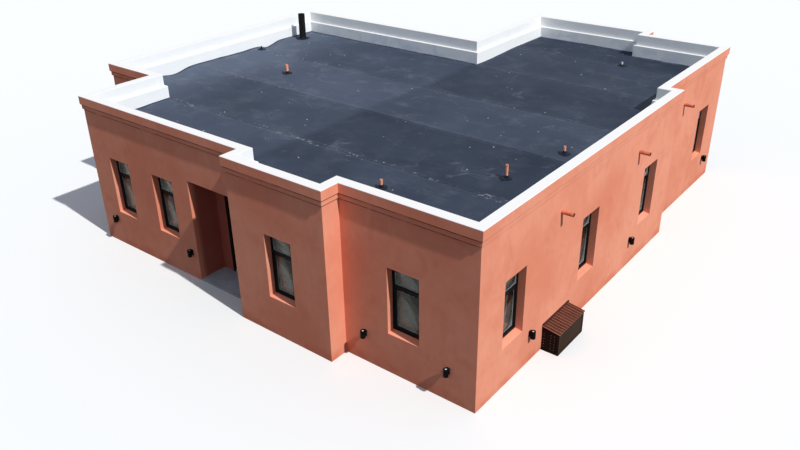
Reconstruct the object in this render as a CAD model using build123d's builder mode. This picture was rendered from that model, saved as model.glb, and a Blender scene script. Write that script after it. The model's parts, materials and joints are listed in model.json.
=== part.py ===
from build123d import *
from math import atan2, degrees
import os

# Single-storey house with a flat roof behind a stepped parapet, in millimetres.
# The origin lies on the ground under the middle of the plan, with the street front facing -Y.

# Plan: the outer faces of the rendered walls
LEFT = -6220
FRONT_LEFT = -4495
WING_LEFT = 65
BAY_LEFT = 815
BAY_RIGHT = 3285
WING_RIGHT = 3645
REAR_RIGHT = 5895
RIGHT = 6220
BAY_FRONT = -6600
FRONT = -6175
LEFT_FRONT = -4245
SIDE_STEP = 2010
LEFT_BACK = 3045
BACK = 6210
WING_BACK = 6600

# Heights above the ground
FLOOR = 100
PORCH_FLOOR = 40
SILL = 890
HEAD = 2250
PORCH_HEAD = 2430
CEILING = 2550
SLAB_TOP = 2730
ROOF_LEVEL = 2990
LEDGE = 3310
COPING = 3600

# Walls and windows
WALL = 250
WINDOW_WIDTH = 700
WINDOW_HEIGHT = HEAD - SILL
REVEAL = 150
SILL_DROP = 25

# Parapet section
PARAPET_FOOT = 225
PARAPET_TOP = 165
BAND_PROJECTION = 50
BAND_FOOT = 3400
FILLET_PROJECTION = 25
FILLET_FOOT = 3290

# Roof covering
ROOF_FALL = 0.003
SUMP_LENGTH = 300
SUMP_WIDTH = 260
SUMP_FLOOR = 2765

# Entrance recess and its doorway
RECESS_LEFT = -1010
RECESS_BACK = -5500
DOOR_LEFT = -630
DOOR_RIGHT = 430

# Window frame section, with depths from the frame's outer face
FRAME_WIDTH = 45
FRAME_DEPTH = 60
TRANSOM_FOOT = 1800
SASH_WIDTH = 45
SASH_FRONT = 10
SASH_BACK = 55
PANE_FRONT = 25
PANE_THICKNESS = 20
PANE_BITE = 10

# Door
DOOR_FRAME_FRONT = 20
DOOR_FRAME_WIDTH = 45
DOOR_FRAME_DEPTH = 70
DOOR_STOP = 12
DOOR_STOP_DEPTH = 20
DOOR_GAP = 5
DOOR_UNDERCUT = 8
LEAF_THICKNESS = 45
HINGE_RADIUS = 8
HINGE_PIN = 5
HINGE_RUNNING_GAP = 0.1
HINGE_KNUCKLE = 45
HINGE_PLATE = 3
HINGE_PLATE_WIDTH = 38
HINGE_OFFSET = 9
HINGE_HEIGHTS = (350, 1150, 1950)
PULL_WIDTH = 25
PULL_LENGTH = 600
PULL_STANDOFF = 50
LEVER_RADIUS = 9
LEVER_LENGTH = 120
LEVER_STANDOFF = 50
HANDLE_INSET = 60
HANDLE_HEIGHT = 1100

# Wall lights
LIGHT_HEIGHT = 660
LIGHT_RADIUS = 55
LIGHT_LENGTH = 160
LIGHT_STANDOFF = 75
LIGHT_SIDES = 16
LENS_RADIUS = 20
LENS_RECESS = 10
LENS_THICKNESS = 6
BACKPLATE_WIDTH = 70
BACKPLATE_HEIGHT = 130
BACKPLATE_DEPTH = 14

# Spouts that throw the roof's water clear of the wall
SPOUT_LEVEL = 2803
SPOUT_RADIUS = 42
SPOUT_WALL = 4
SPOUT_REACH = 235

# Pipes that stand out of the roof: x, y, height and outer radius
PIPES = {
    "kitchen": (-3365, -850, 240, 38),
    "front": (3220, -4925, 170, 26),
    "middle": (4865, -3180, 285, 26),
    "side": (5180, -1445, 165, 26),
    "rear": (3550, 5010, 100, 26),
    "cable": (-5700, 395, 90, 22),
}
PIPE_WALL = 3
FLUE = (-5590, 2025, 750, 100)
FLUE_WALL = 6
COLLAR_HEIGHT = 90
COLLAR_SPREAD = 30
COLLAR_LIP = 4
COLLAR_SIDES = 16

# Slatted timber cover that stands against the right wall, with a lid that falls away from it
COVER_NEAR = -3905
COVER_LENGTH = 1040
COVER_DEPTH = 385
COVER_BACK_HEIGHT = 550
COVER_FRONT_HEIGHT = 490
COVER_STOCK = 600
COVER_POST = 40
COVER_RAIL = 30
COVER_OVERHANG = 20
SLAT_COUNT = 13
SLAT_THICKNESS = 18
SLAT_GAP = 16
BOARD_COUNT = 9
BOARD_THICKNESS = 15
BOARD_GAP = 6
BOARD_CORNER_GAP = 3

# Corners of the plan, anticlockwise from the front left
CORNERS = [
    (FRONT_LEFT, FRONT),
    (BAY_LEFT, FRONT),
    (BAY_LEFT, BAY_FRONT),
    (BAY_RIGHT, BAY_FRONT),
    (BAY_RIGHT, FRONT),
    (RIGHT, FRONT),
    (RIGHT, SIDE_STEP),
    (REAR_RIGHT, SIDE_STEP),
    (REAR_RIGHT, BACK),
    (WING_RIGHT, BACK),
    (WING_RIGHT, WING_BACK),
    (WING_LEFT, WING_BACK),
    (WING_LEFT, LEFT_BACK),
    (LEFT, LEFT_BACK),
    (LEFT, LEFT_FRONT),
    (FRONT_LEFT, LEFT_FRONT),
]

# Runs of outer wall: start and end of the outer face, anticlockwise, and the windows' centres on that face
WALL_RUNS = {
    "front_left_wall": ((FRONT_LEFT, FRONT), (RECESS_LEFT, FRONT), (-3480, -1920)),
    "porch_side_wall": ((RECESS_LEFT, FRONT + WALL), (RECESS_LEFT, RECESS_BACK), ()),
    "bay_left_wall": ((BAY_LEFT, RECESS_BACK + WALL), (BAY_LEFT, BAY_FRONT + WALL), ()),
    "bay_front_wall": ((BAY_LEFT, BAY_FRONT), (BAY_RIGHT, BAY_FRONT), (2070,)),
    "front_right_wall": ((BAY_RIGHT, FRONT), (RIGHT, FRONT), (4675,)),
    "right_wall": ((RIGHT, FRONT + WALL), (RIGHT, SIDE_STEP - WALL), (-5025, -2180, 765)),
    "rear_right_wall": ((REAR_RIGHT, SIDE_STEP), (REAR_RIGHT, BACK - WALL), (5040,)),
    "back_right_wall": ((REAR_RIGHT, BACK), (WING_RIGHT, BACK), (4800,)),
    "back_wing_wall": ((WING_RIGHT, WING_BACK), (WING_LEFT, WING_BACK), (2720, 1000)),
    "wing_left_wall": ((WING_LEFT, WING_BACK - WALL), (WING_LEFT, LEFT_BACK - WALL), (4900,)),
    "back_left_wall": ((WING_LEFT, LEFT_BACK), (LEFT, LEFT_BACK), (-1700, -4400)),
    "left_wall": ((LEFT, LEFT_BACK - WALL), (LEFT, LEFT_FRONT + WALL), (1700, -600, -2900)),
    "left_front_wall": ((LEFT, LEFT_FRONT), (FRONT_LEFT, LEFT_FRONT), ()),
    "front_side_wall": ((FRONT_LEFT, LEFT_FRONT + WALL), (FRONT_LEFT, FRONT + WALL), ()),
}

# Short returns where the plan steps, which share a node
RETURN_RUNS = (
    ((BAY_RIGHT, BAY_FRONT + WALL), (BAY_RIGHT, FRONT + WALL)),
    ((RIGHT, SIDE_STEP), (REAR_RIGHT - WALL, SIDE_STEP)),
    ((WING_RIGHT, BACK - WALL), (WING_RIGHT, WING_BACK - WALL)),
)

# The walls whose windows share a node, by the way they face
WINDOW_WALLS = {
    "front_window_frames": ("front_left_wall", "bay_front_wall", "front_right_wall"),
    "right_window_frames": ("right_wall", "rear_right_wall"),
    "back_window_frames": ("back_right_wall", "back_wing_wall", "back_left_wall"),
    "left_window_frames": ("wing_left_wall", "left_wall"),
}

# Wall lights: the wall's run and the place along it
LIGHTS = (
    ("front_left_wall", -3975),
    ("front_left_wall", -1205),
    ("front_right_wall", 3785),
    ("front_right_wall", 5650),
    ("right_wall", -4390),
    ("right_wall", 30),
    ("rear_right_wall", 5590),
    ("back_wing_wall", 1860),
    ("back_left_wall", -3050),
    ("left_wall", 550),
    ("left_wall", -1750),
)

# Spouts: the wall's run and the place along it
SPOUTS = (("right_wall", -3495), ("right_wall", -50), ("rear_right_wall", 3405))

os.makedirs("parts", exist_ok=True)


def write(part, name):
    """Labels a finished piece and writes its file."""
    part.label = name
    export_step(part, f"parts/{name}.step")


def elevation(start, end):
    """The plane of a wall's outer face: x along the wall, y up and z outwards, with its origin at the start."""
    run = Vector(*end) - Vector(*start)
    return Plane(origin=(*start, 0), x_dir=run, z_dir=run.cross(Vector(0, 0, 1)))


def face_of(name):
    """The outer face of a named wall."""
    start, end, _ = WALL_RUNS[name]
    return elevation(start, end)


def along(name, place):
    """How far a place, given as its x or y in plan, lies from the start of a named wall."""
    start, end, _ = WALL_RUNS[name]
    if start[1] == end[1]:
        return abs(place - start[0])
    return abs(place - start[1])


# Walls


def wall_run(start, end, window_places=()):
    """A straight run of masonry with its window openings and their sloping sills."""
    face = elevation(start, end)
    length = (Vector(*end) - Vector(*start)).length
    with BuildPart() as run:
        with BuildSketch(face):
            Rectangle(length, CEILING, align=(Align.MIN, Align.MIN))
            for place in window_places:
                with Locations((place, (SILL + HEAD) / 2)):
                    Rectangle(WINDOW_WIDTH, WINDOW_HEIGHT, mode=Mode.SUBTRACT)
        extrude(amount=-WALL)
        for place in window_places:
            middle = face.from_local_coords(Vector(place, 0, 0))
            with BuildSketch(Plane(origin=middle, x_dir=face.z_dir, z_dir=-face.x_dir)):
                with BuildLine():
                    Polyline((0, SILL - SILL_DROP), (0, SILL), (-REVEAL, SILL), close=True)
                make_face()
            extrude(amount=WINDOW_WIDTH / 2, both=True, mode=Mode.SUBTRACT)
    return run.part


for name, (start, end, places) in WALL_RUNS.items():
    write(wall_run(start, end, [along(name, place) for place in places]), name)

returns = [wall_run(start, end) for start, end in RETURN_RUNS]
with BuildPart() as return_walls:
    add(returns)
write(return_walls.part, "return_walls")

# The wall at the back of the recess, left and right of its doorway
with BuildPart() as door_wall:
    with BuildSketch():
        for left, right in ((RECESS_LEFT - WALL, DOOR_LEFT), (DOOR_RIGHT, BAY_LEFT)):
            with Locations((left, RECESS_BACK)):
                Rectangle(right - left, WALL, align=(Align.MIN, Align.MIN))
    extrude(amount=CEILING)
write(door_wall.part, "door_wall")

with BuildPart() as door_lintel:
    with BuildSketch(Plane.XY.offset(HEAD)):
        with Locations((DOOR_LEFT, RECESS_BACK)):
            Rectangle(DOOR_RIGHT - DOOR_LEFT, WALL, align=(Align.MIN, Align.MIN))
    extrude(amount=CEILING - HEAD)
write(door_lintel.part, "door_lintel")

# The beam over the mouth of the recess, cast in one with the recess's ceiling
with BuildPart() as porch_beam:
    with BuildSketch(Plane.XY.offset(PORCH_HEAD)):
        with Locations((RECESS_LEFT, FRONT)):
            Rectangle(BAY_LEFT - RECESS_LEFT, RECESS_BACK - FRONT, align=(Align.MIN, Align.MIN))
    extrude(amount=CEILING - PORCH_HEAD)
write(porch_beam.part, "porch_beam")


# Floors and roof


def draw_footprint(inset=0):
    """Draws the plan's outline in the open sketch, moved in by the given distance."""
    Polygon(*CORNERS, align=None)
    if inset:
        offset(amount=-inset, kind=Kind.INTERSECTION)


with BuildPart() as floor_slab:
    with BuildSketch():
        draw_footprint(WALL)
        with Locations((RECESS_LEFT - WALL, FRONT)):
            Rectangle(
                BAY_LEFT - RECESS_LEFT + 2 * WALL,
                RECESS_BACK + WALL - FRONT,
                align=(Align.MIN, Align.MIN),
                mode=Mode.SUBTRACT,
            )
        with Locations((DOOR_LEFT, RECESS_BACK)):
            Rectangle(DOOR_RIGHT - DOOR_LEFT, WALL, align=(Align.MIN, Align.MIN))
    extrude(amount=FLOOR)
write(floor_slab.part, "floor_slab")

with BuildPart() as porch_floor:
    with BuildSketch():
        with Locations((RECESS_LEFT, FRONT)):
            Rectangle(BAY_LEFT - RECESS_LEFT, RECESS_BACK - FRONT, align=(Align.MIN, Align.MIN))
    extrude(amount=PORCH_FLOOR)
write(porch_floor.part, "porch_floor")

with BuildPart() as roof_slab:
    with BuildSketch(Plane.XY.offset(CEILING)):
        draw_footprint()
    extrude(amount=SLAB_TOP - CEILING)
write(roof_slab.part, "roof_slab")

# The roof's surface falls gently to the right, where the spouts are
roof_surface = Plane(origin=(0, 0, ROOF_LEVEL), x_dir=(1, 0, -ROOF_FALL), z_dir=(ROOF_FALL, 0, 1))

with BuildPart() as roof_covering:
    with BuildSketch(Plane.XY.offset(SLAB_TOP)):
        draw_footprint(PARAPET_FOOT)
    extrude(amount=LEDGE - SLAB_TOP)
    split(bisect_by=roof_surface, keep=Keep.BOTTOM)
    for name, place in SPOUTS:
        inlet = face_of(name).from_local_coords(Vector(along(name, place), SUMP_FLOOR, -PARAPET_FOOT))
        with BuildSketch(Plane(origin=inlet, x_dir=(0, 1, 0), z_dir=(0, 0, 1))):
            Rectangle(SUMP_LENGTH, SUMP_WIDTH, align=(Align.CENTER, Align.MIN))
        extrude(amount=LEDGE - SUMP_FLOOR, mode=Mode.SUBTRACT)
write(roof_covering.part, "roof_covering")


# Parapet: one stepped and moulded section, run round all sixteen corners with mitred ends


def side(index):
    """The start and end of one side of the plan, and its direction."""
    start = Vector(*CORNERS[index % len(CORNERS)])
    end = Vector(*CORNERS[(index + 1) % len(CORNERS)])
    return start, end, (end - start).normalized()


def parapet_run(index):
    """The parapet along one side of the plan, cut at both ends on the mitre with its neighbours."""
    start, end, along_side = side(index)
    overrun = PARAPET_FOOT + BAND_PROJECTION
    outwards = along_side.cross(Vector(0, 0, 1))
    with BuildPart() as run:
        with BuildSketch(Plane(origin=end + along_side * overrun, x_dir=outwards, z_dir=-along_side)):
            with BuildLine():
                Polyline(
                    (0, SLAB_TOP),
                    (0, FILLET_FOOT),
                    (FILLET_PROJECTION, FILLET_FOOT),
                    (FILLET_PROJECTION, BAND_FOOT),
                    (BAND_PROJECTION, BAND_FOOT),
                    (BAND_PROJECTION, COPING),
                    (-PARAPET_TOP, COPING),
                    (-PARAPET_TOP, LEDGE),
                    (-PARAPET_FOOT, LEDGE),
                    (-PARAPET_FOOT, SLAB_TOP),
                    close=True,
                )
            make_face()
        extrude(amount=(end - start).length + 2 * overrun)
        split(bisect_by=Plane(origin=start, z_dir=side(index - 1)[2] + along_side), keep=Keep.TOP)
        split(bisect_by=Plane(origin=end, z_dir=along_side + side(index + 1)[2]), keep=Keep.BOTTOM)
    return run.part


parapet_runs = {"front": [], "right": [], "back": [], "left": []}
for index in range(len(CORNERS)):
    _, _, heading = side(index)
    facing = {(1, 0): "front", (0, 1): "right", (-1, 0): "back", (0, -1): "left"}
    parapet_runs[facing[(round(heading.X), round(heading.Y))]].append(parapet_run(index))

with BuildPart() as front_parapet:
    add(parapet_runs["front"])
write(front_parapet.part, "front_parapet")

with BuildPart() as back_parapet:
    add(parapet_runs["back"])
write(back_parapet.part, "back_parapet")

with BuildPart() as left_parapet:
    add(parapet_runs["left"])
write(left_parapet.part, "left_parapet")

with BuildPart() as right_parapet:
    add(parapet_runs["right"])
    for name, place in SPOUTS:
        with BuildSketch(face_of(name)):
            with Locations((along(name, place), SPOUT_LEVEL)):
                Circle(SPOUT_RADIUS)
        extrude(amount=-PARAPET_FOOT, mode=Mode.SUBTRACT)
write(right_parapet.part, "right_parapet")


# Windows: a fixed top light over a closed sash

TRANSOM_TOP = TRANSOM_FOOT + FRAME_WIDTH
TOP_LIGHT = (TRANSOM_TOP, HEAD - FRAME_WIDTH, WINDOW_WIDTH - 2 * FRAME_WIDTH)
SASH_OPENING = (SILL + FRAME_WIDTH, TRANSOM_FOOT, WINDOW_WIDTH - 2 * FRAME_WIDTH)
SASH_LIGHT = (
    SILL + FRAME_WIDTH + SASH_WIDTH,
    TRANSOM_FOOT - SASH_WIDTH,
    WINDOW_WIDTH - 2 * (FRAME_WIDTH + SASH_WIDTH),
)


def window_box(face, place, opening, depths, grow=0, mode=Mode.ADD):
    """Adds or cuts a box in the open part: the opening's foot, head and width, between two depths of the frame."""
    foot, head, width = opening
    front, back = depths
    with BuildSketch(face.offset(-REVEAL - front)) as outline:
        with Locations((place, (foot + head) / 2)):
            Rectangle(width + 2 * grow, head - foot + 2 * grow)
    extrude(outline.sketch, amount=front - back, mode=mode)


def window_frame(face, place):
    """Frame, transom and closed sash of one window, grooved for its panes."""
    through = (0, FRAME_DEPTH)
    with BuildPart() as frame:
        window_box(face, place, (SILL, HEAD, WINDOW_WIDTH), through)
        window_box(face, place, TOP_LIGHT, through, mode=Mode.SUBTRACT)
        window_box(face, place, SASH_OPENING, through, mode=Mode.SUBTRACT)
        window_box(face, place, SASH_OPENING, (SASH_FRONT, SASH_BACK))
        window_box(face, place, SASH_LIGHT, through, mode=Mode.SUBTRACT)
        for light in (TOP_LIGHT, SASH_LIGHT):
            groove = (PANE_FRONT, PANE_FRONT + PANE_THICKNESS)
            window_box(face, place, light, groove, grow=PANE_BITE, mode=Mode.SUBTRACT)
    return frame.part


window_places = {
    node: [(face_of(wall), along(wall, place)) for wall in walls for place in WALL_RUNS[wall][2]]
    for node, walls in WINDOW_WALLS.items()
}

for name, places in window_places.items():
    frames = [window_frame(face, place) for face, place in places]
    with BuildPart() as window_frames:
        add(frames)
    write(window_frames.part, name)

with BuildPart() as window_glass:
    for places in window_places.values():
        for face, place in places:
            for light in (TOP_LIGHT, SASH_LIGHT):
                window_box(face, place, light, (PANE_FRONT, PANE_FRONT + PANE_THICKNESS), grow=PANE_BITE)
write(window_glass.part, "window_glass")


# Entrance door, hung on the left and opening inwards

DOOR_MIDDLE = (DOOR_LEFT + DOOR_RIGHT) / 2
DOOR_WIDTH = DOOR_RIGHT - DOOR_LEFT
FRAME_FRONT = RECESS_BACK + DOOR_FRAME_FRONT
FRAME_BACK = FRAME_FRONT + DOOR_FRAME_DEPTH
LEAF_LEFT = DOOR_LEFT + DOOR_FRAME_WIDTH + DOOR_GAP
LEAF_RIGHT = DOOR_RIGHT - DOOR_FRAME_WIDTH - DOOR_GAP
LEAF_FOOT = FLOOR + DOOR_UNDERCUT
LEAF_TOP = HEAD - DOOR_FRAME_WIDTH - DOOR_GAP
LEAF_FRONT = FRAME_BACK - LEAF_THICKNESS
PIVOT = (DOOR_LEFT + DOOR_FRAME_WIDTH, FRAME_BACK + HINGE_OFFSET)
HANDLE_PLACE = LEAF_RIGHT - HANDLE_INSET


def facing_street(depth):
    """An upright plane at the given y, with x to the right and y up, that faces the street."""
    return Plane.XZ.offset(-depth)


with BuildPart() as door_frame:
    for front, back, width in (
        (0, DOOR_STOP_DEPTH, DOOR_FRAME_WIDTH + DOOR_STOP),
        (DOOR_STOP_DEPTH, DOOR_FRAME_DEPTH, DOOR_FRAME_WIDTH),
    ):
        with BuildSketch(facing_street(FRAME_FRONT + front)):
            with Locations((DOOR_MIDDLE, FLOOR)):
                Rectangle(DOOR_WIDTH, HEAD - FLOOR, align=(Align.CENTER, Align.MIN))
                Rectangle(
                    DOOR_WIDTH - 2 * width,
                    HEAD - FLOOR - width,
                    align=(Align.CENTER, Align.MIN),
                    mode=Mode.SUBTRACT,
                )
        extrude(amount=front - back)
write(door_frame.part, "door_frame")

with BuildPart() as door_leaf:
    with BuildSketch(facing_street(LEAF_FRONT)):
        with Locations((LEAF_LEFT, LEAF_FOOT)):
            Rectangle(LEAF_RIGHT - LEAF_LEFT, LEAF_TOP - LEAF_FOOT, align=(Align.MIN, Align.MIN))
    extrude(amount=-LEAF_THICKNESS)
write(door_leaf.part, "door_leaf")

# Lift-off hinges: the frame's half carries the pin, and the leaf's half sits on it
with BuildPart() as frame_hinges:
    for height in HINGE_HEIGHTS:
        with BuildSketch(Plane.XY.offset(height)):
            with Locations(PIVOT):
                Circle(HINGE_RADIUS)
            with Locations((PIVOT[0], FRAME_BACK)):
                Rectangle(HINGE_PLATE_WIDTH, HINGE_PLATE, align=(Align.MAX, Align.MIN))
        extrude(amount=HINGE_KNUCKLE)
        with BuildSketch(Plane.XY.offset(height + HINGE_KNUCKLE)):
            with Locations(PIVOT):
                Circle(HINGE_PIN)
        extrude(amount=HINGE_KNUCKLE - HINGE_RADIUS)
write(frame_hinges.part, "frame_hinges")

with BuildPart() as leaf_hinges:
    for height in HINGE_HEIGHTS:
        with BuildSketch(Plane.XY.offset(height + HINGE_KNUCKLE + HINGE_RUNNING_GAP)):
            with Locations(PIVOT):
                Circle(HINGE_RADIUS)
            with Locations((PIVOT[0] + HINGE_PIN / 2, FRAME_BACK)):
                Rectangle(HINGE_PLATE_WIDTH, HINGE_PLATE, align=(Align.MIN, Align.MIN))
        extrude(amount=HINGE_KNUCKLE)
        with BuildSketch(Plane.XY.offset(height + HINGE_KNUCKLE)):
            with Locations(PIVOT):
                Circle(HINGE_PIN + HINGE_RUNNING_GAP)
        extrude(amount=HINGE_KNUCKLE - HINGE_RADIUS + 1, mode=Mode.SUBTRACT)
write(leaf_hinges.part, "leaf_hinges")

# An upright pull outside and a lever inside
with BuildPart() as door_handle:
    with BuildSketch(Plane.XY.offset(HANDLE_HEIGHT - PULL_LENGTH / 2)):
        with Locations((HANDLE_PLACE, LEAF_FRONT - PULL_STANDOFF)):
            Rectangle(PULL_WIDTH, PULL_WIDTH)
    extrude(amount=PULL_LENGTH)
    with BuildSketch(facing_street(LEAF_FRONT)):
        with Locations((HANDLE_PLACE, HANDLE_HEIGHT)):
            with GridLocations(0, PULL_LENGTH * 2 / 3, 1, 2):
                Rectangle(PULL_WIDTH / 2, PULL_WIDTH)
    extrude(amount=PULL_STANDOFF)
    with BuildSketch(facing_street(FRAME_BACK)):
        with Locations((HANDLE_PLACE, HANDLE_HEIGHT)):
            Circle(LEVER_RADIUS)
    extrude(amount=-LEVER_STANDOFF)
    lever_end = Plane(
        origin=(HANDLE_PLACE + LEVER_RADIUS, FRAME_BACK + LEVER_STANDOFF, HANDLE_HEIGHT),
        z_dir=(-1, 0, 0),
    )
    with BuildSketch(lever_end):
        Circle(LEVER_RADIUS)
    extrude(amount=LEVER_LENGTH)
write(door_handle.part, "door_handle")


# Wall lights: an upright cylinder on a small plate, with a lamp sunk in its top.
# Its rounds have few sides, because the fitting is small and repeated.


def light_foot(name, place):
    """The middle of a wall light's lower end."""
    foot = Vector(along(name, place), LIGHT_HEIGHT - LIGHT_LENGTH / 2, LIGHT_STANDOFF)
    return face_of(name).from_local_coords(foot)


with BuildPart() as wall_lights:
    for name, place in LIGHTS:
        face = face_of(name)
        foot = Plane(origin=light_foot(name, place))
        with BuildSketch(foot):
            RegularPolygon(LIGHT_RADIUS, LIGHT_SIDES)
        extrude(amount=LIGHT_LENGTH)
        with BuildSketch(face):
            with Locations((along(name, place), LIGHT_HEIGHT)):
                Rectangle(BACKPLATE_WIDTH, BACKPLATE_HEIGHT)
        extrude(amount=BACKPLATE_DEPTH)
        with BuildSketch(face):
            with Locations((along(name, place), LIGHT_HEIGHT)):
                Rectangle(BACKPLATE_WIDTH / 2, BACKPLATE_HEIGHT / 2)
        extrude(amount=LIGHT_STANDOFF)
        with BuildSketch(foot.offset(LIGHT_LENGTH)):
            RegularPolygon(LENS_RADIUS, LIGHT_SIDES)
        extrude(amount=-LENS_RECESS - LENS_THICKNESS, mode=Mode.SUBTRACT)
write(wall_lights.part, "wall_lights")

with BuildPart() as light_lenses:
    for name, place in LIGHTS:
        foot = Plane(origin=light_foot(name, place))
        with BuildSketch(foot.offset(LIGHT_LENGTH - LENS_RECESS)):
            RegularPolygon(LENS_RADIUS, LIGHT_SIDES)
        extrude(amount=-LENS_THICKNESS)
write(light_lenses.part, "light_lenses")


# Roof fittings

with BuildPart() as roof_spouts:
    for name, place in SPOUTS:
        with BuildSketch(face_of(name).offset(-PARAPET_FOOT)):
            with Locations((along(name, place), SPOUT_LEVEL)):
                Circle(SPOUT_RADIUS)
                Circle(SPOUT_RADIUS - SPOUT_WALL, mode=Mode.SUBTRACT)
        extrude(amount=PARAPET_FOOT + SPOUT_REACH)
write(roof_spouts.part, "roof_spouts")


def roof_pipe(x, y, height, radius, wall):
    """Adds an open pipe that stands on the roof, in the open part."""
    with BuildSketch(roof_surface) as ring:
        with Locations((x, y)):
            Circle(radius)
            Circle(radius - wall, mode=Mode.SUBTRACT)
    extrude(ring.sketch, amount=height)


with BuildPart() as vent_pipes:
    for x, y, height, radius in PIPES.values():
        roof_pipe(x, y, height, radius, PIPE_WALL)
write(vent_pipes.part, "vent_pipes")

with BuildPart() as roof_flue:
    roof_pipe(*FLUE, FLUE_WALL)
write(roof_flue.part, "roof_flue")

# Collars that are dressed up round the pipes from the roof covering, with few-sided rounds as above
with BuildPart() as pipe_collars:
    for x, y, height, radius in PIPES.values():
        collar_height = min(COLLAR_HEIGHT, height / 2)
        slope = degrees(atan2(COLLAR_SPREAD - COLLAR_LIP, collar_height))
        with BuildSketch(roof_surface):
            with Locations((x, y)):
                RegularPolygon(radius + COLLAR_SPREAD, COLLAR_SIDES, major_radius=False)
        extrude(amount=collar_height, taper=slope)
        with BuildSketch(roof_surface):
            with Locations((x, y)):
                Circle(radius)
        extrude(amount=collar_height, mode=Mode.SUBTRACT)
write(pipe_collars.part, "pipe_collars")


# Slatted timber cover against the right wall. Its frame and boards are cut to the slope of the lid,
# whose slats are cut plumb at both ends.

FRAME_RUN = COVER_LENGTH - 2 * (COVER_OVERHANG + BOARD_THICKNESS)
FRAME_REACH = COVER_DEPTH - COVER_OVERHANG - BOARD_THICKNESS
COVER_MIDDLE = COVER_NEAR + COVER_LENGTH / 2
COVER_FALL = COVER_BACK_HEIGHT - COVER_FRONT_HEIGHT

lid_top = Plane(
    origin=(RIGHT, COVER_MIDDLE, COVER_BACK_HEIGHT),
    x_dir=(COVER_DEPTH, 0, -COVER_FALL),
    z_dir=(COVER_FALL, 0, COVER_DEPTH),
)
lid_underside = lid_top.offset(-SLAT_THICKNESS)


def draw_frame_ring():
    """Draws the outline of the cover's frame, seen from above, in the open sketch."""
    with Locations((RIGHT + FRAME_REACH / 2, COVER_MIDDLE)):
        Rectangle(FRAME_REACH, FRAME_RUN)
        Rectangle(FRAME_REACH - 2 * COVER_POST, FRAME_RUN - 2 * COVER_POST, mode=Mode.SUBTRACT)


with BuildPart() as top_rails:
    with BuildSketch():
        draw_frame_ring()
    extrude(amount=COVER_STOCK)
    split(bisect_by=lid_underside, keep=Keep.BOTTOM)
    split(bisect_by=lid_underside.offset(-COVER_RAIL), keep=Keep.TOP)

with BuildPart() as cover_frame:
    with BuildSketch():
        with Locations((RIGHT + FRAME_REACH / 2, COVER_MIDDLE)):
            with GridLocations(FRAME_REACH - COVER_POST, FRAME_RUN - COVER_POST, 2, 2):
                Rectangle(COVER_POST, COVER_POST)
    extrude(amount=COVER_STOCK)
    split(bisect_by=lid_underside, keep=Keep.BOTTOM)
    with BuildSketch():
        draw_frame_ring()
    extrude(amount=COVER_RAIL)
    add(top_rails.part)
write(cover_frame.part, "cover_frame")

slat_pitch = (COVER_LENGTH + SLAT_GAP) / SLAT_COUNT
with BuildPart() as cover_lid:
    with BuildSketch():
        with Locations((RIGHT + COVER_DEPTH / 2, COVER_MIDDLE)):
            with GridLocations(COVER_DEPTH, slat_pitch, 1, SLAT_COUNT):
                Rectangle(COVER_DEPTH, slat_pitch - SLAT_GAP)
    extrude(amount=COVER_STOCK)
    split(bisect_by=lid_top, keep=Keep.BOTTOM)
    split(bisect_by=lid_underside, keep=Keep.TOP)
write(cover_lid.part, "cover_lid")

board_pitch = (COVER_BACK_HEIGHT + BOARD_GAP) / BOARD_COUNT
with BuildPart() as cover_boards:
    for board in range(BOARD_COUNT):
        with BuildSketch(Plane.XY.offset(board * board_pitch)):
            with Locations((RIGHT + FRAME_REACH, COVER_MIDDLE)):
                Rectangle(BOARD_THICKNESS, FRAME_RUN + 2 * BOARD_THICKNESS, align=(Align.MIN, Align.CENTER))
            for end, growth in ((-1, Align.MAX), (1, Align.MIN)):
                with Locations((RIGHT, COVER_MIDDLE + end * FRAME_RUN / 2)):
                    Rectangle(FRAME_REACH - BOARD_CORNER_GAP, BOARD_THICKNESS, align=(Align.MIN, growth))
        extrude(amount=board_pitch - BOARD_GAP)
    split(bisect_by=lid_underside, keep=Keep.BOTTOM)
write(cover_boards.part, "cover_boards")
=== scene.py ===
# %% [markdown]
# # A flat-roofed house behind a white parapet
#
# The house comes in as forty-five separate pieces, each at its real size and place, in metres. This
# lesson dresses them: smooth terracotta render on the walls, white waterproof paint on the parapet,
# blue-black sheet on the roof, black aluminium windows, and the small fittings round them.
# A piece whose shape is already right keeps its shape and only gets a finish. A piece that needs
# softer edges or finer parts than the model carries is built again here, in the same place.

import json
from math import atan2, cos, hypot, pi, radians, sin, tau

import bmesh
import bpy
from mathutils import Matrix, Vector, noise


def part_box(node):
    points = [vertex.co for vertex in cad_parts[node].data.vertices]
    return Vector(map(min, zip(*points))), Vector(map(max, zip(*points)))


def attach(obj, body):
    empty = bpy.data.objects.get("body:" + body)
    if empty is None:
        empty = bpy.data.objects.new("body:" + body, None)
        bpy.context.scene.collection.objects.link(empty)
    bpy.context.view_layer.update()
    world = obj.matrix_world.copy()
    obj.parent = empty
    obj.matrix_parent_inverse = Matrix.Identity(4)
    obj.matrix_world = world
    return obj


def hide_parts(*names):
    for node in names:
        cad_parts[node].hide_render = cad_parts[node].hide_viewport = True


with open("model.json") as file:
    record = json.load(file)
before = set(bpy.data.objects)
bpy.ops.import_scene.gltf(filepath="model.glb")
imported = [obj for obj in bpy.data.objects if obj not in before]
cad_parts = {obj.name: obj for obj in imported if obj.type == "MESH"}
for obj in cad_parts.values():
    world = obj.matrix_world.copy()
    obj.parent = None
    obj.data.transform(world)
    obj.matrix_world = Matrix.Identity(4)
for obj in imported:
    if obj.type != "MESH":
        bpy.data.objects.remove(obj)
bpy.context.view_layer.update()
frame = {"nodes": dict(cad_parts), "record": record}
NODES = frame["nodes"]

# %% [markdown]
# ## The camera
#
# The photograph looks down on the house from above its front right corner. The place of the lens was
# worked out from the straight edges of the walls, so the camera gets that place and its three angles
# as plain numbers. Its axes are built as vectors, because that shows what each angle does.

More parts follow.
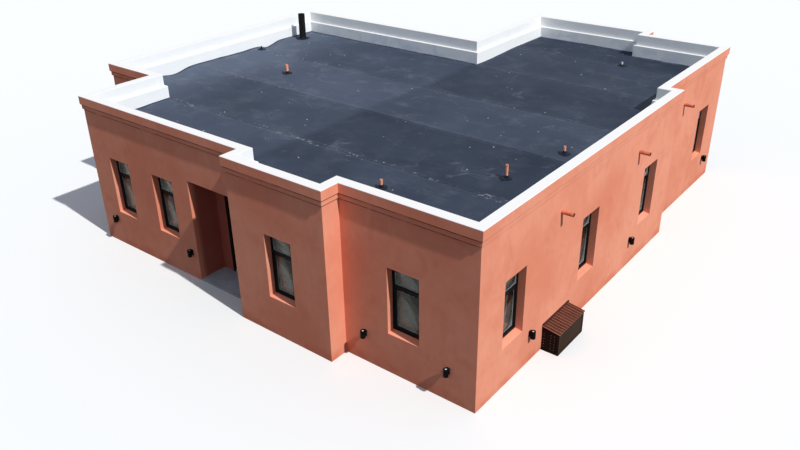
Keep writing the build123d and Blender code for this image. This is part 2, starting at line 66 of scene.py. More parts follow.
# %% Camera
EYE = Vector((11.688, -15.059, 9.165))
YAW, PITCH, ROLL = radians(-38.432), radians(27.855), radians(0.877)
FOCAL_LENGTH_PIXELS, PHOTO_WIDTH_PIXELS = 781.8, 800
SENSOR_WIDTH, FURTHEST_SEEN = 36.0, 500

forward = Vector((sin(YAW) * cos(PITCH), cos(YAW) * cos(PITCH), -sin(PITCH)))
level_right = Vector((cos(YAW), -sin(YAW), 0))
level_up = level_right.cross(forward)
camera_right = cos(ROLL) * level_right - sin(ROLL) * level_up
camera_up = sin(ROLL) * level_right + cos(ROLL) * level_up

camera = bpy.data.objects.new("camera", bpy.data.cameras.new("camera"))
bpy.context.scene.collection.objects.link(camera)
camera.data.sensor_width = SENSOR_WIDTH
camera.data.lens = FOCAL_LENGTH_PIXELS / PHOTO_WIDTH_PIXELS * SENSOR_WIDTH
camera.data.clip_end = FURTHEST_SEEN
turn = Matrix((camera_right, camera_up, -forward)).transposed()
camera.matrix_world = Matrix.Translation(EYE) @ turn.to_4x4()
bpy.context.scene.camera = camera
print("lens", round(camera.data.lens, 2), "mm")

# %% [markdown]
# ## Nodes, colours and groups
#
# Every finish below is a small network of nodes. A few short helpers keep the networks readable: one
# adds a node and joins its inputs, others do sums, mix two colours by a mask, or make soft noise.
# Colours are given as they look on a screen, from 0 to 255, and turned into the linear values that
# light needs.

# %% Helpers for colours, nodes and sums
def colour(red, green, blue):
    """A screen colour as linear red, green, blue and alpha."""
    channels = (red / 255, green / 255, blue / 255)
    linear = [c / 12.92 if c <= 0.04045 else ((c + 0.055) / 1.055) ** 2.4 for c in channels]
    return (*linear, 1)


def put(tree, kind, inputs=None, **settings):
    """Adds a node. An input is a plain value, or the output of another node to be joined to it."""
    node = tree.nodes.new(kind)
    for name, value in settings.items():
        setattr(node, name, value)
    for key, value in (inputs or {}).items():
        if isinstance(value, bpy.types.NodeSocket):
            tree.links.new(value, node.inputs[key])
        else:
            node.inputs[key].default_value = value
    return node


def sums(tree, operation, *values, clamp=False):
    """The result of a sum on plain values and outputs."""
    node = put(tree, "ShaderNodeMath", dict(enumerate(values)), operation=operation, use_clamp=clamp)
    return node.outputs[0]


print("linear value of middle grey", round(colour(128, 128, 128)[0], 3))


# %% Helpers for mixing, easing and noise
def mixed(tree, mask, first, second):
    """The first colour where the mask is 0, and the second where it is 1."""
    return put(tree, "ShaderNodeMix", {0: mask, 6: first, 7: second}, data_type="RGBA").outputs[2]


def eased(tree, value, start, end, low=0.0, high=1.0):
    """Turns a value that runs from start to end into one that runs smoothly from low to high."""
    limits = {"From Min": start, "From Max": end, "To Min": low, "To Max": high}
    node = put(tree, "ShaderNodeMapRange", {"Value": value, **limits}, interpolation_type="SMOOTHSTEP")
    return node.outputs[0]


def times(tree, first, *others):
    """Values and masks multiplied together."""
    for other in others:
        first = sums(tree, "MULTIPLY", first, other)
    return first


def parts_of(tree, vector):
    """The X, Y and Z of a vector, as outputs by name."""
    return put(tree, "ShaderNodeSeparateXYZ", {"Vector": vector}).outputs


def drawn_out(tree, place, scale):
    """The place, squeezed by a scale for each axis, so that a pattern on it comes out longer."""
    return put(tree, "ShaderNodeMapping", {"Vector": place, "Scale": scale}).outputs[0]


def cloudy(tree, place, scale, detail=2.0, roughness=0.5, distortion=0.0):
    """Soft noise from 0 to 1, with its scale given as lumps to the metre."""
    sizes = {"Scale": scale, "Detail": detail, "Roughness": roughness, "Distortion": distortion}
    return put(tree, "ShaderNodeTexNoise", {"Vector": place, **sizes}).outputs[0]


def ready(*helpers):
    """Prints the names of helpers that a cell has defined."""
    print("ready:", ", ".join(helper.__name__ for helper in helpers))


ready(mixed, eased, times, parts_of, drawn_out, cloudy)


# %% Helpers for groups
def shader_group(name, inputs, outputs):
    """An empty shader group. An input with no plain value is a vector. Returns tree, inputs and end."""
    tree = bpy.data.node_groups.new(name, "ShaderNodeTree")
    for label, value in inputs.items():
        kind = "NodeSocketVector" if value is None else "NodeSocketFloat"
        socket = tree.interface.new_socket(label, in_out="INPUT", socket_type=kind)
        if value is not None:
            socket.default_value = value
    for label in outputs:
        tree.interface.new_socket(label, in_out="OUTPUT", socket_type="NodeSocketFloat")
    start = tree.nodes.new("NodeGroupInput")
    end = tree.nodes.new("NodeGroupOutput")
    return tree, start.outputs, end


def use_group(tree, group, **inputs):
    """Places a shader group in a material. Underscores in an input's name stand for spaces."""
    node = tree.nodes.new("ShaderNodeGroup")
    node.node_tree = group
    for name, value in inputs.items():
        key = name.replace("_", " ")
        if isinstance(value, bpy.types.NodeSocket):
            tree.links.new(value, node.inputs[key])
        else:
            node.inputs[key].default_value = value
    return node.outputs


ready(shader_group, use_group)

# %% [markdown]
# ## Floor, light and background
#
# The house stands on a plain pale floor. The floor shows pale to the eye and a little darker in a
# pane, but it sends only a little warm light back up the walls, as the ground round a house does.
# Light Path tells the material which of these asks for its colour.

# %% Floor
FLOOR_RADIUS, FLOOR_SIDES = 120, 96
FLOOR_SHOWN = colour(236, 236, 234)
FLOOR_MIRRORED = colour(198, 198, 192)
FLOOR_BOUNCE = colour(62, 46, 36)


def seen_directly(tree):
    """1 for what the eye, a mirror or a pane shows, and 0 for light on its way to a surface."""
    path = tree.nodes.new("ShaderNodeLightPath")
    shown = sums(tree, "MAXIMUM", path.outputs["Is Camera Ray"], path.outputs["Is Glossy Ray"])
    shown = sums(tree, "MAXIMUM", shown, path.outputs["Is Transmission Ray"])
    return times(tree, shown, sums(tree, "LESS_THAN", path.outputs["Diffuse Depth"], 0.5))


floor_finish = bpy.data.materials.new("pale_floor")
floor_finish.use_nodes = True
tree = floor_finish.node_tree
tree.nodes.clear()
in_view = tree.nodes.new("ShaderNodeLightPath").outputs["Is Camera Ray"]
floor_colour = mixed(tree, in_view, FLOOR_MIRRORED, FLOOR_SHOWN)
floor_colour = mixed(tree, seen_directly(tree), FLOOR_BOUNCE, floor_colour)
floor_surface = put(tree, "ShaderNodeBsdfDiffuse", {"Color": floor_colour})
put(tree, "ShaderNodeOutputMaterial", {"Surface": floor_surface.outputs[0]})

bpy.ops.mesh.primitive_circle_add(vertices=FLOOR_SIDES, radius=FLOOR_RADIUS, fill_type="NGON")
ground = bpy.context.object
ground.name = "pale_floor"
ground.data.materials.append(floor_finish)
print("floor across", 2 * FLOOR_RADIUS, "m")

# %% [markdown]
# ## Lamp and world
#
# One lamp stands to the right, a little forward of the house and about half way up the sky, so that
# the right walls are lit, the front is in gentle shade and the cornice throws a long soft shadow. The
# world fills the shade and shows white behind the house. Both are kept at a level at which a colour
# renders about as it is written.

# %% Lamp
LAMP_BEARING, LAMP_HEIGHT = radians(-6.2), radians(49)
LAMP_STRENGTH, LAMP_SOFTNESS = 3.52, radians(1.0)
LAMP_COLOUR = (1.0, 1.0, 0.99)

lamp = bpy.data.objects.new("soft_lamp", bpy.data.lights.new("soft_lamp", "SUN"))
bpy.context.scene.collection.objects.link(lamp)
lamp.data.energy = LAMP_STRENGTH
lamp.data.color = LAMP_COLOUR
lamp.data.angle = LAMP_SOFTNESS
towards_lamp = Vector((cos(LAMP_BEARING) * cos(LAMP_HEIGHT), sin(LAMP_BEARING) * cos(LAMP_HEIGHT),
                       sin(LAMP_HEIGHT)))
lamp.rotation_euler = towards_lamp.to_track_quat("Z", "Y").to_euler()
print("lamp from", [round(part, 2) for part in towards_lamp])

# %% World
WORLD_FILL, WORLD_SHOWN = colour(149, 158, 173), (1, 1, 1, 1)

world = bpy.data.worlds.new("studio")
bpy.context.scene.world = world
world.use_nodes = True
tree = world.node_tree
tree.nodes.clear()
sky = mixed(tree, seen_directly(tree), WORLD_FILL, WORLD_SHOWN)
backdrop = put(tree, "ShaderNodeBackground", {"Color": sky, "Strength": 1.0})
put(tree, "ShaderNodeOutputWorld", {"Surface": backdrop.outputs[0]})
bpy.context.scene.view_settings.view_transform = "Standard"
print("world fills with", [round(part, 2) for part in WORLD_FILL[:3]])

# %% [markdown]
# ## Places taken from the model
#
# The plan has sixteen corners. Each is read from the box of the wall that ends there, so that every
# piece made below follows the model if its sizes change. A copy of a node's mesh is merged and split
# into its loose solids where the places of single windows, pipes or lights are needed.

# %% Corners of the plan
def low(node):
    """The lowest corner of a piece's box."""
    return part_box(node)[0]


def high(node):
    """The highest corner of a piece's box."""
    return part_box(node)[1]


LEFT, RIGHT = low("left_wall").x, high("right_wall").x
FRONT_LEFT, FRONT = low("front_left_wall").x, low("front_left_wall").y
BAY_LEFT, BAY_RIGHT = low("bay_front_wall").x, high("bay_front_wall").x
BAY_FRONT, LEFT_FRONT = low("bay_front_wall").y, low("left_front_wall").y
REAR_RIGHT, SIDE_STEP = high("rear_right_wall").x, low("rear_right_wall").y
WING_LEFT, WING_RIGHT = low("back_wing_wall").x, high("back_wing_wall").x
BACK, WING_BACK = high("back_right_wall").y, high("back_wing_wall").y
LEFT_BACK = high("back_left_wall").y
RECESS_LEFT, RECESS_BACK = low("porch_beam").x, low("door_lintel").y
WALL_TOP, COPING = low("front_parapet").z, high("front_parapet").z
LEDGE_DROP, FILLET_DROP, BAND_DROP = 0.29, 0.31, 0.20
LEDGE, FILLET_FOOT, BAND_FOOT = COPING - LEDGE_DROP, COPING - FILLET_DROP, COPING - BAND_DROP

CORNERS = [
    (FRONT_LEFT, FRONT), (BAY_LEFT, FRONT), (BAY_LEFT, BAY_FRONT), (BAY_RIGHT, BAY_FRONT),
    (BAY_RIGHT, FRONT), (RIGHT, FRONT), (RIGHT, SIDE_STEP), (REAR_RIGHT, SIDE_STEP),
    (REAR_RIGHT, BACK), (WING_RIGHT, BACK), (WING_RIGHT, WING_BACK), (WING_LEFT, WING_BACK),
    (WING_LEFT, LEFT_BACK), (LEFT, LEFT_BACK), (LEFT, LEFT_FRONT), (FRONT_LEFT, LEFT_FRONT),
]
CORNER_COUNT = len(CORNERS)
print("corners", CORNER_COUNT, "coping", round(COPING, 3), "m up")

# %% The solids in a node
MERGE_DISTANCE = 1e-5


def merged_copy(node):
    """A copy of a piece's mesh with its loose triangles joined at their corners."""
    copy = bmesh.new()
    copy.from_mesh(NODES[node].data)
    bmesh.ops.remove_doubles(copy, verts=copy.verts, dist=MERGE_DISTANCE)
    return copy


def solids(node):
    """The two corners of each loose solid in a piece."""
    copy = merged_copy(node)
    found, seen = [], set()
    for first in copy.verts:
        if first in seen:
            continue
        group, waiting = [], [first]
        seen.add(first)
        while waiting:
            vertex = waiting.pop()
            group.append(vertex.co.copy())
            for edge in vertex.link_edges:
                other = edge.other_vert(vertex)
                if other not in seen:
                    seen.add(other)
                    waiting.append(other)
        columns = list(zip(*group))
        found.append([Vector(pick(column) for column in columns) for pick in (min, max)])
    copy.free()
    return sorted(found, key=lambda pair: tuple(round(part, 4) for part in pair[0]))


print("windows", sum(len(solids(f"{way}_window_frames")) for way in ("front", "right", "back", "left")))

# %% [markdown]
# ## Making and finishing a piece
#
# A new piece needs a mesh with outward faces, a place in the scene and its finishes. Then it is hung
# on the body it moves with, and the model's pieces that it stands for are hidden. Soft, repeatable
# unevenness comes from one function, so that nothing hand-made is dead straight.

# %% Helpers for meshes and pieces
SHARP_ANGLE = radians(32)


def add_object(name, mesh, *finishes):
    """Puts a mesh in the scene, with its finishes, named in order."""
    piece = bpy.data.objects.new(name, mesh)
    bpy.context.scene.collection.objects.link(piece)
    for finish in finishes:
        mesh.materials.append(FINISHES[finish])
    return piece


def mesh_of(name, points, faces, finish_of=None, smooth=True):
    """A mesh with outward faces. finish_of gives the number of each face's finish."""
    mesh = bpy.data.meshes.new(name)
    mesh.from_pydata(points, [], faces)
    if finish_of:
        mesh.polygons.foreach_set("material_index", finish_of)
    work = bmesh.new()
    work.from_mesh(mesh)
    bmesh.ops.recalc_face_normals(work, faces=work.faces)
    work.to_mesh(mesh)
    work.free()
    if smooth:
        mesh.shade_smooth()
        mesh.set_sharp_from_angle(angle=SHARP_ANGLE)
    return mesh


def settle(piece, body="house", replaced=()):
    """Hangs a new piece on the body it moves with and hides the model's pieces that it stands for."""
    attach(piece, body)
    if replaced:
        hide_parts(*replaced)
    print(piece.name, "faces", len(piece.data.polygons))
    return piece


def wander(point, scale, seed=0.0):
    """Soft, repeatable unevenness from 0 to 1, as a hand leaves it."""
    return 0.5 + 0.5 * noise.noise((Vector(point) + Vector((seed, seed * 0.7, -seed))) * scale)


print("wander at the first corner", round(wander((*CORNERS[0], COPING), 1.0), 3))

# %% [markdown]
# ## Effects that several finishes share
#
# Render, paint and concrete are all laid by hand, so they share one relief: slow waves, trowel marks
# and fine grain, each with its own depth in metres. Damp that rises at the foot of a wall, streaks
# that rain leaves under an edge, and dust that lies on what faces up are masks. Each is a group that
# puts out plain values, and each material chooses what it does with them.

# %% Group: relief left by the trowel
group, given, end = shader_group(
    "hand_laid_relief",
    {"Vector": None, "Wave Depth": 0.002, "Trowel Depth": 0.0006, "Grain Depth": 0.0003,
     "Grain Scale": 260.0},
    ("Height", "Tone"),
)
waves = cloudy(group, given["Vector"], 1.1, 2.0)
trowel = cloudy(group, drawn_out(group, given["Vector"], (1.0, 1.0, 0.45)), 7.0, 3.0, 0.45, 0.8)
grain = cloudy(group, given["Vector"], given["Grain Scale"])
relief = times(group, waves, given["Wave Depth"])
relief = sums(group, "MULTIPLY_ADD", trowel, given["Trowel Depth"], relief)
relief = sums(group, "MULTIPLY_ADD", grain, given["Grain Depth"], relief)
group.links.new(relief, end.inputs["Height"])
tone = sums(group, "ADD", times(group, waves, 0.55), times(group, trowel, 0.45))
group.links.new(tone, end.inputs["Tone"])
HAND_LAID = group
print(group.name, "nodes", len(group.nodes))

# %% Group: damp that rises at the foot
group, given, end = shader_group("rising_damp", {"Vector": None, "Height": 0.3}, ("Mask",))
level = parts_of(group, given["Vector"])["Z"]
ragged = sums(group, "MULTIPLY_ADD", cloudy(group, given["Vector"], 3.0, 4.0, 0.6), 0.30, -0.15)
share = sums(group, "DIVIDE", sums(group, "ADD", level, ragged), given["Height"])
group.links.new(eased(group, share, 0.15, 1.0, 1.0, 0.0), end.inputs["Mask"])
RISING_DAMP = group
print(group.name, "nodes", len(group.nodes))

# %% Group: streaks that rain leaves under an edge
group, given, end = shader_group(
    "rain_streaks", {"Vector": None, "Top": 3.4, "Length": 0.6, "Streak Scale": 9.0}, ("Mask",)
)
parts = parts_of(group, given["Vector"])
run = put(group, "ShaderNodeCombineXYZ", {
    "X": times(group, parts["X"], given["Streak Scale"]),
    "Y": times(group, parts["Y"], given["Streak Scale"]),
    "Z": times(group, parts["Z"], 0.5),
}).outputs[0]
lines = eased(group, cloudy(group, run, 1.0, 3.0, 0.55), 0.50, 0.78)
under = sums(group, "DIVIDE", sums(group, "SUBTRACT", given["Top"], parts["Z"]), given["Length"])
starts, fades = eased(group, under, 0.0, 0.04), eased(group, under, 0.1, 1.0, 1.0, 0.0)
group.links.new(times(group, lines, starts, fades), end.inputs["Mask"])
RAIN_STREAKS = group
print(group.name, "nodes", len(group.nodes))

# %% Group: dust that lies on what faces up
group, given, end = shader_group(
    "settled_dust", {"Vector": None, "Normal": None, "Patch Scale": 2.0, "Cover": 0.5}, ("Mask",)
)
upward = parts_of(group, given["Normal"])["Z"]
patches = cloudy(group, given["Vector"], given["Patch Scale"], 5.0, 0.62)
start_of_dust = sums(group, "SUBTRACT", 0.85, times(group, given["Cover"], 0.55))
lying = sums(group, "DIVIDE", sums(group, "SUBTRACT", patches, start_of_dust), 0.22, clamp=True)
lying = times(group, lying, eased(group, upward, 0.3, 0.9))
group.links.new(lying, end.inputs["Mask"])
SETTLED_DUST = group
print("groups", sorted(g.name for g in bpy.data.node_groups))

# %% [markdown]
# ## Telling the inside of a wall from the outside
#
# A wall is one solid piece, but it is terracotta outside and pale plaster inside, and the colour
# changes in the reveal of each window, under the frame. So the render needs to know whether a point
# is indoors. The rooms are a few upright boxes, and a point is indoors when it lies in any of them.
# For one box, the larger of the distances past its half width and half depth is below zero inside.

# %% Group: the rooms
PLASTER_DEPTH = 0.18
OVERLAP = 2.0


def room(x0, x1, y0, y1):
    """Middle and half sizes of a room's box in plan, moved in from the walls' outer faces."""
    x0, x1, y0, y1 = x0 + PLASTER_DEPTH, x1 - PLASTER_DEPTH, y0 + PLASTER_DEPTH, y1 - PLASTER_DEPTH
    return (x0 + x1) / 2, (y0 + y1) / 2, (x1 - x0) / 2, (y1 - y0) / 2


ROOMS = [
    room(LEFT, RIGHT, LEFT_FRONT, SIDE_STEP),
    room(FRONT_LEFT, RECESS_LEFT, FRONT, LEFT_FRONT + OVERLAP),
    room(FRONT_LEFT, RIGHT, RECESS_BACK, LEFT_FRONT + OVERLAP),
    room(BAY_LEFT, BAY_RIGHT, BAY_FRONT, LEFT_FRONT + OVERLAP),
    room(BAY_LEFT, RIGHT, FRONT, LEFT_FRONT + OVERLAP),
    room(LEFT, REAR_RIGHT, SIDE_STEP - OVERLAP, LEFT_BACK),
    room(WING_LEFT, REAR_RIGHT, SIDE_STEP - OVERLAP, BACK),
    room(WING_LEFT, WING_RIGHT, SIDE_STEP - OVERLAP, WING_BACK),
]

group, given, end = shader_group("indoors", {"Vector": None}, ("Mask",))
parts = parts_of(group, given["Vector"])


def past(part, middle, half):
    """How far a point lies past a box along one axis, below zero inside it."""
    off = sums(group, "ABSOLUTE", sums(group, "SUBTRACT", part, middle))
    return sums(group, "SUBTRACT", off, half)


nearest = 1.0
for middle_x, middle_y, half_x, half_y in ROOMS:
    past_x, past_y = past(parts["X"], middle_x, half_x), past(parts["Y"], middle_y, half_y)
    outside_by = sums(group, "MAXIMUM", past_x, past_y)
    nearest = sums(group, "MINIMUM", nearest, outside_by)
group.links.new(sums(group, "LESS_THAN", nearest, 0.0), end.inputs["Mask"])
INDOORS = group
print("rooms", len(ROOMS))

# %% [markdown]
# ## Terracotta render, and the plaster behind it
#
# The render is smooth and matt, in one warm earth colour, but never quite even: broad paler and
# darker clouds where it dried at different speeds, fine trowel marks, a darker damp band along the
# ground, and faint streaks under the cornice. Under each step of the cornice runs a thin dark line,
# partly dirt and partly painted shade. In the entrance recess the colour is painted deeper, as painted
# shade where little light reaches. The plaster indoors is the same work in off-white.

# %% Helpers for materials
def new_finish(name):
    """An empty material, its tree, its object coordinates and its surface normal."""
    finish = bpy.data.materials.new(name)
    finish.use_nodes = True
    tree = finish.node_tree
    tree.nodes.clear()
    at = tree.nodes.new("ShaderNodeTexCoord").outputs
    return finish, tree, at["Object"], at["Normal"]


def close_finish(tree, height=None, distance=1.0, **inputs):
    """Adds the surface shader and the output. Underscores in an input's name stand for spaces."""
    named = {name.replace("_", " "): value for name, value in inputs.items()}
    if height is not None:
        named["Normal"] = put(tree, "ShaderNodeBump", {"Height": height, "Distance": distance}).outputs[0]
    shader = put(tree, "ShaderNodeBsdfPrincipled", named)
    put(tree, "ShaderNodeOutputMaterial", {"Surface": shader.outputs[0]})
    return shader


ready(new_finish, close_finish)

# %% Material: wall render
RENDER_PALE, RENDER_DEEP = colour(249, 169, 139), colour(232, 143, 113)
RENDER_DAMP, RENDER_CHALK = colour(216, 114, 84), colour(246, 200, 178)
RENDER_GRIME_AND_SHADE, RENDER_RUST = colour(52, 22, 17), colour(222, 128, 100)
RENDER_RECESS_SHADE, RECESS_SHADE_SHARE = colour(156, 72, 58), 0.8
PLASTER_PALE, PLASTER_SHADE = colour(226, 222, 212), colour(206, 200, 188)
GRIME_AND_SHADE_WIDTH, GRIME_AND_SHADE_STRENGTH = 0.032, 0.92
JUST_PAST = 0.01


def painted_recess_shade(tree, place):
    """Grows from 0 at the mouth of the entrance recess to 1 deeper inside it, where painted shade goes."""
    parts = parts_of(tree, place)
    right_of = sums(tree, "GREATER_THAN", parts["X"], RECESS_LEFT - JUST_PAST)
    left_of = sums(tree, "LESS_THAN", parts["X"], BAY_LEFT + JUST_PAST)
    outdoors = sums(tree, "LESS_THAN", parts["Y"], RECESS_BACK + JUST_PAST)
    return times(tree, right_of, left_of, outdoors, eased(tree, parts["Y"], FRONT + 0.04, FRONT + 0.20))


def grime_and_shade_under(tree, place, edge):
    """A thin dark line under an edge, broken here and there: partly dirt, partly painted shade under the
    overhang.
    """
    level = parts_of(tree, place)["Z"]
    below = eased(tree, level, edge - GRIME_AND_SHADE_WIDTH, edge - 0.6 * GRIME_AND_SHADE_WIDTH)
    not_above = sums(tree, "LESS_THAN", level, edge + 0.001)
    broken = eased(tree, cloudy(tree, place, 2.4, 4.0, 0.65), 0.36, 0.54, 0.15, 1.0)
    return times(tree, below, not_above, broken)


wall_render, tree, place, facing = new_finish("wall_render")
relief = use_group(tree, HAND_LAID, Vector=place, Wave_Depth=0.004, Trowel_Depth=0.0008,
                   Grain_Depth=0.0003)
clouds = eased(tree, cloudy(tree, place, 0.55, 4.0, 0.6), 0.32, 0.68)
body_colour = mixed(tree, clouds, RENDER_DEEP, RENDER_PALE)
body_colour = mixed(tree, eased(tree, relief["Tone"], 0.36, 0.64, 0.0, 0.35), body_colour, RENDER_DEEP)
mottled = eased(tree, cloudy(tree, place, 1.5, 5.0, 0.62, 0.6), 0.50, 0.70, 0.0, 0.38)
body_colour = mixed(tree, mottled, body_colour, RENDER_RUST)
damp = use_group(tree, RISING_DAMP, Vector=place, Height=0.26)["Mask"]
blotted = eased(tree, cloudy(tree, place, 1.9, 4.0, 0.6), 0.40, 0.62, 0.10, 0.62)
body_colour = mixed(tree, times(tree, damp, blotted), body_colour, RENDER_DAMP)
streaks = use_group(tree, RAIN_STREAKS, Vector=place, Top=FILLET_FOOT, Length=0.9, Streak_Scale=3.2)["Mask"]
body_colour = mixed(tree, times(tree, streaks, 0.12), body_colour, RENDER_CHALK)
# Painted shade: the render is made deeper inside the entrance recess, where little light reaches.
recess_shade = times(tree, painted_recess_shade(tree, place), RECESS_SHADE_SHARE)
body_colour = mixed(tree, recess_shade, body_colour, RENDER_RECESS_SHADE)
# Under each step of the cornice a thin dark line is painted: partly dirt, partly painted shade.
for edge in (FILLET_FOOT, BAND_FOOT):
    grime_and_shade = times(tree, grime_and_shade_under(tree, place, edge), GRIME_AND_SHADE_STRENGTH)
    body_colour = mixed(tree, grime_and_shade, body_colour, RENDER_GRIME_AND_SHADE)
plaster = mixed(tree, clouds, PLASTER_SHADE, PLASTER_PALE)
inside = use_group(tree, INDOORS, Vector=place)["Mask"]
close_finish(
    tree,
    height=relief["Height"],
    Base_Color=mixed(tree, inside, body_colour, plaster),
    Roughness=eased(tree, relief["Tone"], 0.3, 0.7, 0.78, 0.92),
    Specular_IOR_Level=0.25,
)
print(wall_render.name, "nodes", len(tree.nodes))

# %% [markdown]
# ## White parapet paint
#
# The parapet's top and inner faces carry thick white waterproof paint, rolled on in patches. It stays
# bright, with square overlaps of the roller, and bluish grey marbling near its foot where damp stands.
# The marbling is left off the faces that look right, towards the lamp, so it is partly painted shade
# on the faces turned away. Faces that look up are painted a little darker, as painted shade that keeps
# the lit top from going white.

# %% Material: parapet paint
PAINT_WHITE, PAINT_ROLLED = colour(249, 250, 249), colour(243, 246, 246)
PAINT_TOP_SHADE, PAINT_GREY = colour(234, 231, 228), colour(200, 214, 236)

parapet_paint, tree, place, facing = new_finish("parapet_paint")
relief = use_group(tree, HAND_LAID, Vector=place, Wave_Depth=0.003, Trowel_Depth=0.001,
                   Grain_Depth=0.0004)
rolled = put(tree, "ShaderNodeTexVoronoi", {"Vector": place, "Scale": 2.6, "Randomness": 0.8},
             distance="CHEBYCHEV").outputs["Color"]
rolled = put(tree, "ShaderNodeSeparateColor", {"Color": rolled}).outputs[0]
white = mixed(tree, times(tree, rolled, 0.7), PAINT_WHITE, PAINT_ROLLED)
near_foot = eased(tree, parts_of(tree, place)["Z"], LEDGE - 0.28, LEDGE + 0.24, 1.0, 0.0)
marbling = eased(tree, cloudy(tree, place, 1.7, 5.0, 0.6, 0.8), 0.45, 0.68, 0.0, 0.55)
ways = parts_of(tree, facing)
# The marbling is kept off faces towards the lamp: partly damp marks, partly painted shade on the faces turned
# away.
turned_from_lamp = eased(tree, ways["X"], 0.2, 0.7, 1.0, 0.0)
white = mixed(tree, times(tree, marbling, near_foot, turned_from_lamp), white, PAINT_GREY)
# Painted shade: faces that look up are painted a little darker and warmer, so the lit top stays short of
# white.
white = mixed(tree, eased(tree, ways["Z"], 0.4, 0.8), white, PAINT_TOP_SHADE)
close_finish(
    tree,
    height=relief["Height"],
    Base_Color=white,
    Roughness=eased(tree, relief["Tone"], 0.3, 0.7, 0.45, 0.65),
    Specular_IOR_Level=0.35,
)
print(parapet_paint.name, "nodes", len(tree.nodes))

# %% [markdown]
# ## Roof sheet
#
# The roof is covered with wide strips of dark sheet, lapped over each other. Dust lies on it in wide
# soft patches, thicker towards the left side and along the laps, and each strip has weathered to its
# own tone. The tone and the closeness of a lap are written on the mesh, so the finish follows it.
# Over that lie smears, specks, torn pale flecks along the front lap, and a few fold lines, made a
# little paler along their crests as painted highlight.

# %% Material: roof sheet
SHEET_DARK, SHEET_WORN = colour(26, 35, 50), colour(82, 91, 108)
SHEET_DUST, SHEET_CHALK_AND_HIGHLIGHT = colour(120, 125, 138), colour(150, 156, 166)
SHEET_FLECK = colour(214, 216, 220)

roof_sheet, tree, place, facing = new_finish("roof_sheet")
strip_tone = put(tree, "ShaderNodeAttribute", attribute_name="strip_tone").outputs["Fac"]
lap_dust = put(tree, "ShaderNodeAttribute", attribute_name="lap_dust").outputs["Fac"]
broad = cloudy(tree, place, 0.9, 5.0, 0.6, 0.4)
worn = sums(tree, "ADD", strip_tone, sums(tree, "MULTIPLY_ADD", broad, 0.4, -0.2), clamp=True)
sheet_colour = mixed(tree, worn, SHEET_DARK, SHEET_WORN)
dust = use_group(tree, SETTLED_DUST, Vector=place, Normal=facing, Patch_Scale=1.6, Cover=0.62)["Mask"]
dust = times(tree, dust, sums(tree, "MULTIPLY_ADD", strip_tone, 0.35, 0.02))
sheet_colour = mixed(tree, dust, sheet_colour, SHEET_DUST)
fine = cloudy(tree, place, 26.0, 4.0, 0.7)
chalk = times(tree, lap_dust, eased(tree, fine, 0.42, 0.62))
sheet_colour = mixed(tree, times(tree, chalk, 0.17), sheet_colour, SHEET_CHALK_AND_HIGHLIGHT)
smears = eased(tree, cloudy(tree, place, 1.7, 8.0, 0.72, 1.4), 0.58, 0.72)
sheet_colour = mixed(tree, times(tree, smears, 0.30), sheet_colour, SHEET_DUST)
cells = put(tree, "ShaderNodeTexVoronoi", {"Vector": place, "Scale": 1.3, "Randomness": 1.0})
specks = eased(tree, cells.outputs["Distance"], 0.010, 0.020, 1.0, 0.0)
sheet_colour = mixed(tree, times(tree, specks, 0.55), sheet_colour, SHEET_CHALK_AND_HIGHLIGHT)
across = parts_of(tree, place)
flecks = times(
    tree,
    eased(tree, cloudy(tree, place, 9.0, 3.0, 0.6), 0.58, 0.63),
    eased(tree, lap_dust, 0.08, 0.22),
    eased(tree, cloudy(tree, place, 1.1, 1.0), 0.38, 0.50),
    eased(tree, across["X"], -3.4, -1.2, 1.0, 0.3),
    eased(tree, across["Y"], -3.7, -3.2, 1.0, 0.15),
)
sheet_colour = mixed(tree, times(tree, flecks, 0.8), sheet_colour, SHEET_FLECK)
wavy = cloudy(tree, drawn_out(tree, place, (0.45, 1.3, 1.0)), 1.1, 3.0, 0.5, 0.9)
folds = eased(tree, sums(tree, "ABSOLUTE", sums(tree, "SUBTRACT", wavy, 0.5)), 0.0, 0.020, 1.0, 0.0)
folds = times(tree, folds, eased(tree, cloudy(tree, place, 0.8, 2.0), 0.48, 0.62))
# Painted highlight: the fold lines are made a little paler. The same pale colour is also real chalk and
# specks.
sheet_colour = mixed(tree, times(tree, folds, 0.06), sheet_colour, SHEET_CHALK_AND_HIGHLIGHT)
ripples = cloudy(tree, place, 5.0, 3.0, 0.5, 0.6)
grit = cloudy(tree, place, 420.0)
surface = sums(tree, "MULTIPLY_ADD", ripples, 0.004, times(tree, grit, 0.0004))
surface = sums(tree, "MULTIPLY_ADD", folds, 0.006, surface)
close_finish(
    tree,
    height=surface,
    Base_Color=sheet_colour,
    Roughness=sums(tree, "MULTIPLY_ADD", fine, 0.2, 0.62),
    Specular_IOR_Level=0.10,
)
print(roof_sheet.name, "nodes", len(tree.nodes))

# %% [markdown]
# ## Metal, plastic, rubber and bitumen
#
# The small fittings share one pattern: a smooth skin with a slow change between two tones, a fine
# orange peel, and a little dust on what faces up. One function makes it, and a table gives each
# finish its two tones, its roughness and what else sets it apart.

# %% Materials: coated metal, steel and plastic
def coated(name, main, second, roughness, peel=0.00015, metallic=0.0, dusty=0.25, scale=6.0, shine=0.35):
    """A smooth coated surface with a slow change of tone, orange peel and a little dust on top."""
    finish, tree, place, facing = new_finish(name)
    change = eased(tree, cloudy(tree, place, scale, 4.0, 0.6), 0.35, 0.65)
    skin = mixed(tree, change, main, second)
    dust = use_group(tree, SETTLED_DUST, Vector=place, Normal=facing, Patch_Scale=9.0, Cover=0.7)["Mask"]
    skin = mixed(tree, times(tree, dust, dusty), skin, SHEET_DUST)
    close_finish(
        tree,
        height=times(tree, cloudy(tree, place, 900.0, 1.0), peel),
        Base_Color=skin,
        Roughness=sums(tree, "MULTIPLY_ADD", change, 0.12, roughness),
        Metallic=metallic,
        Specular_IOR_Level=shine,
    )
    return finish


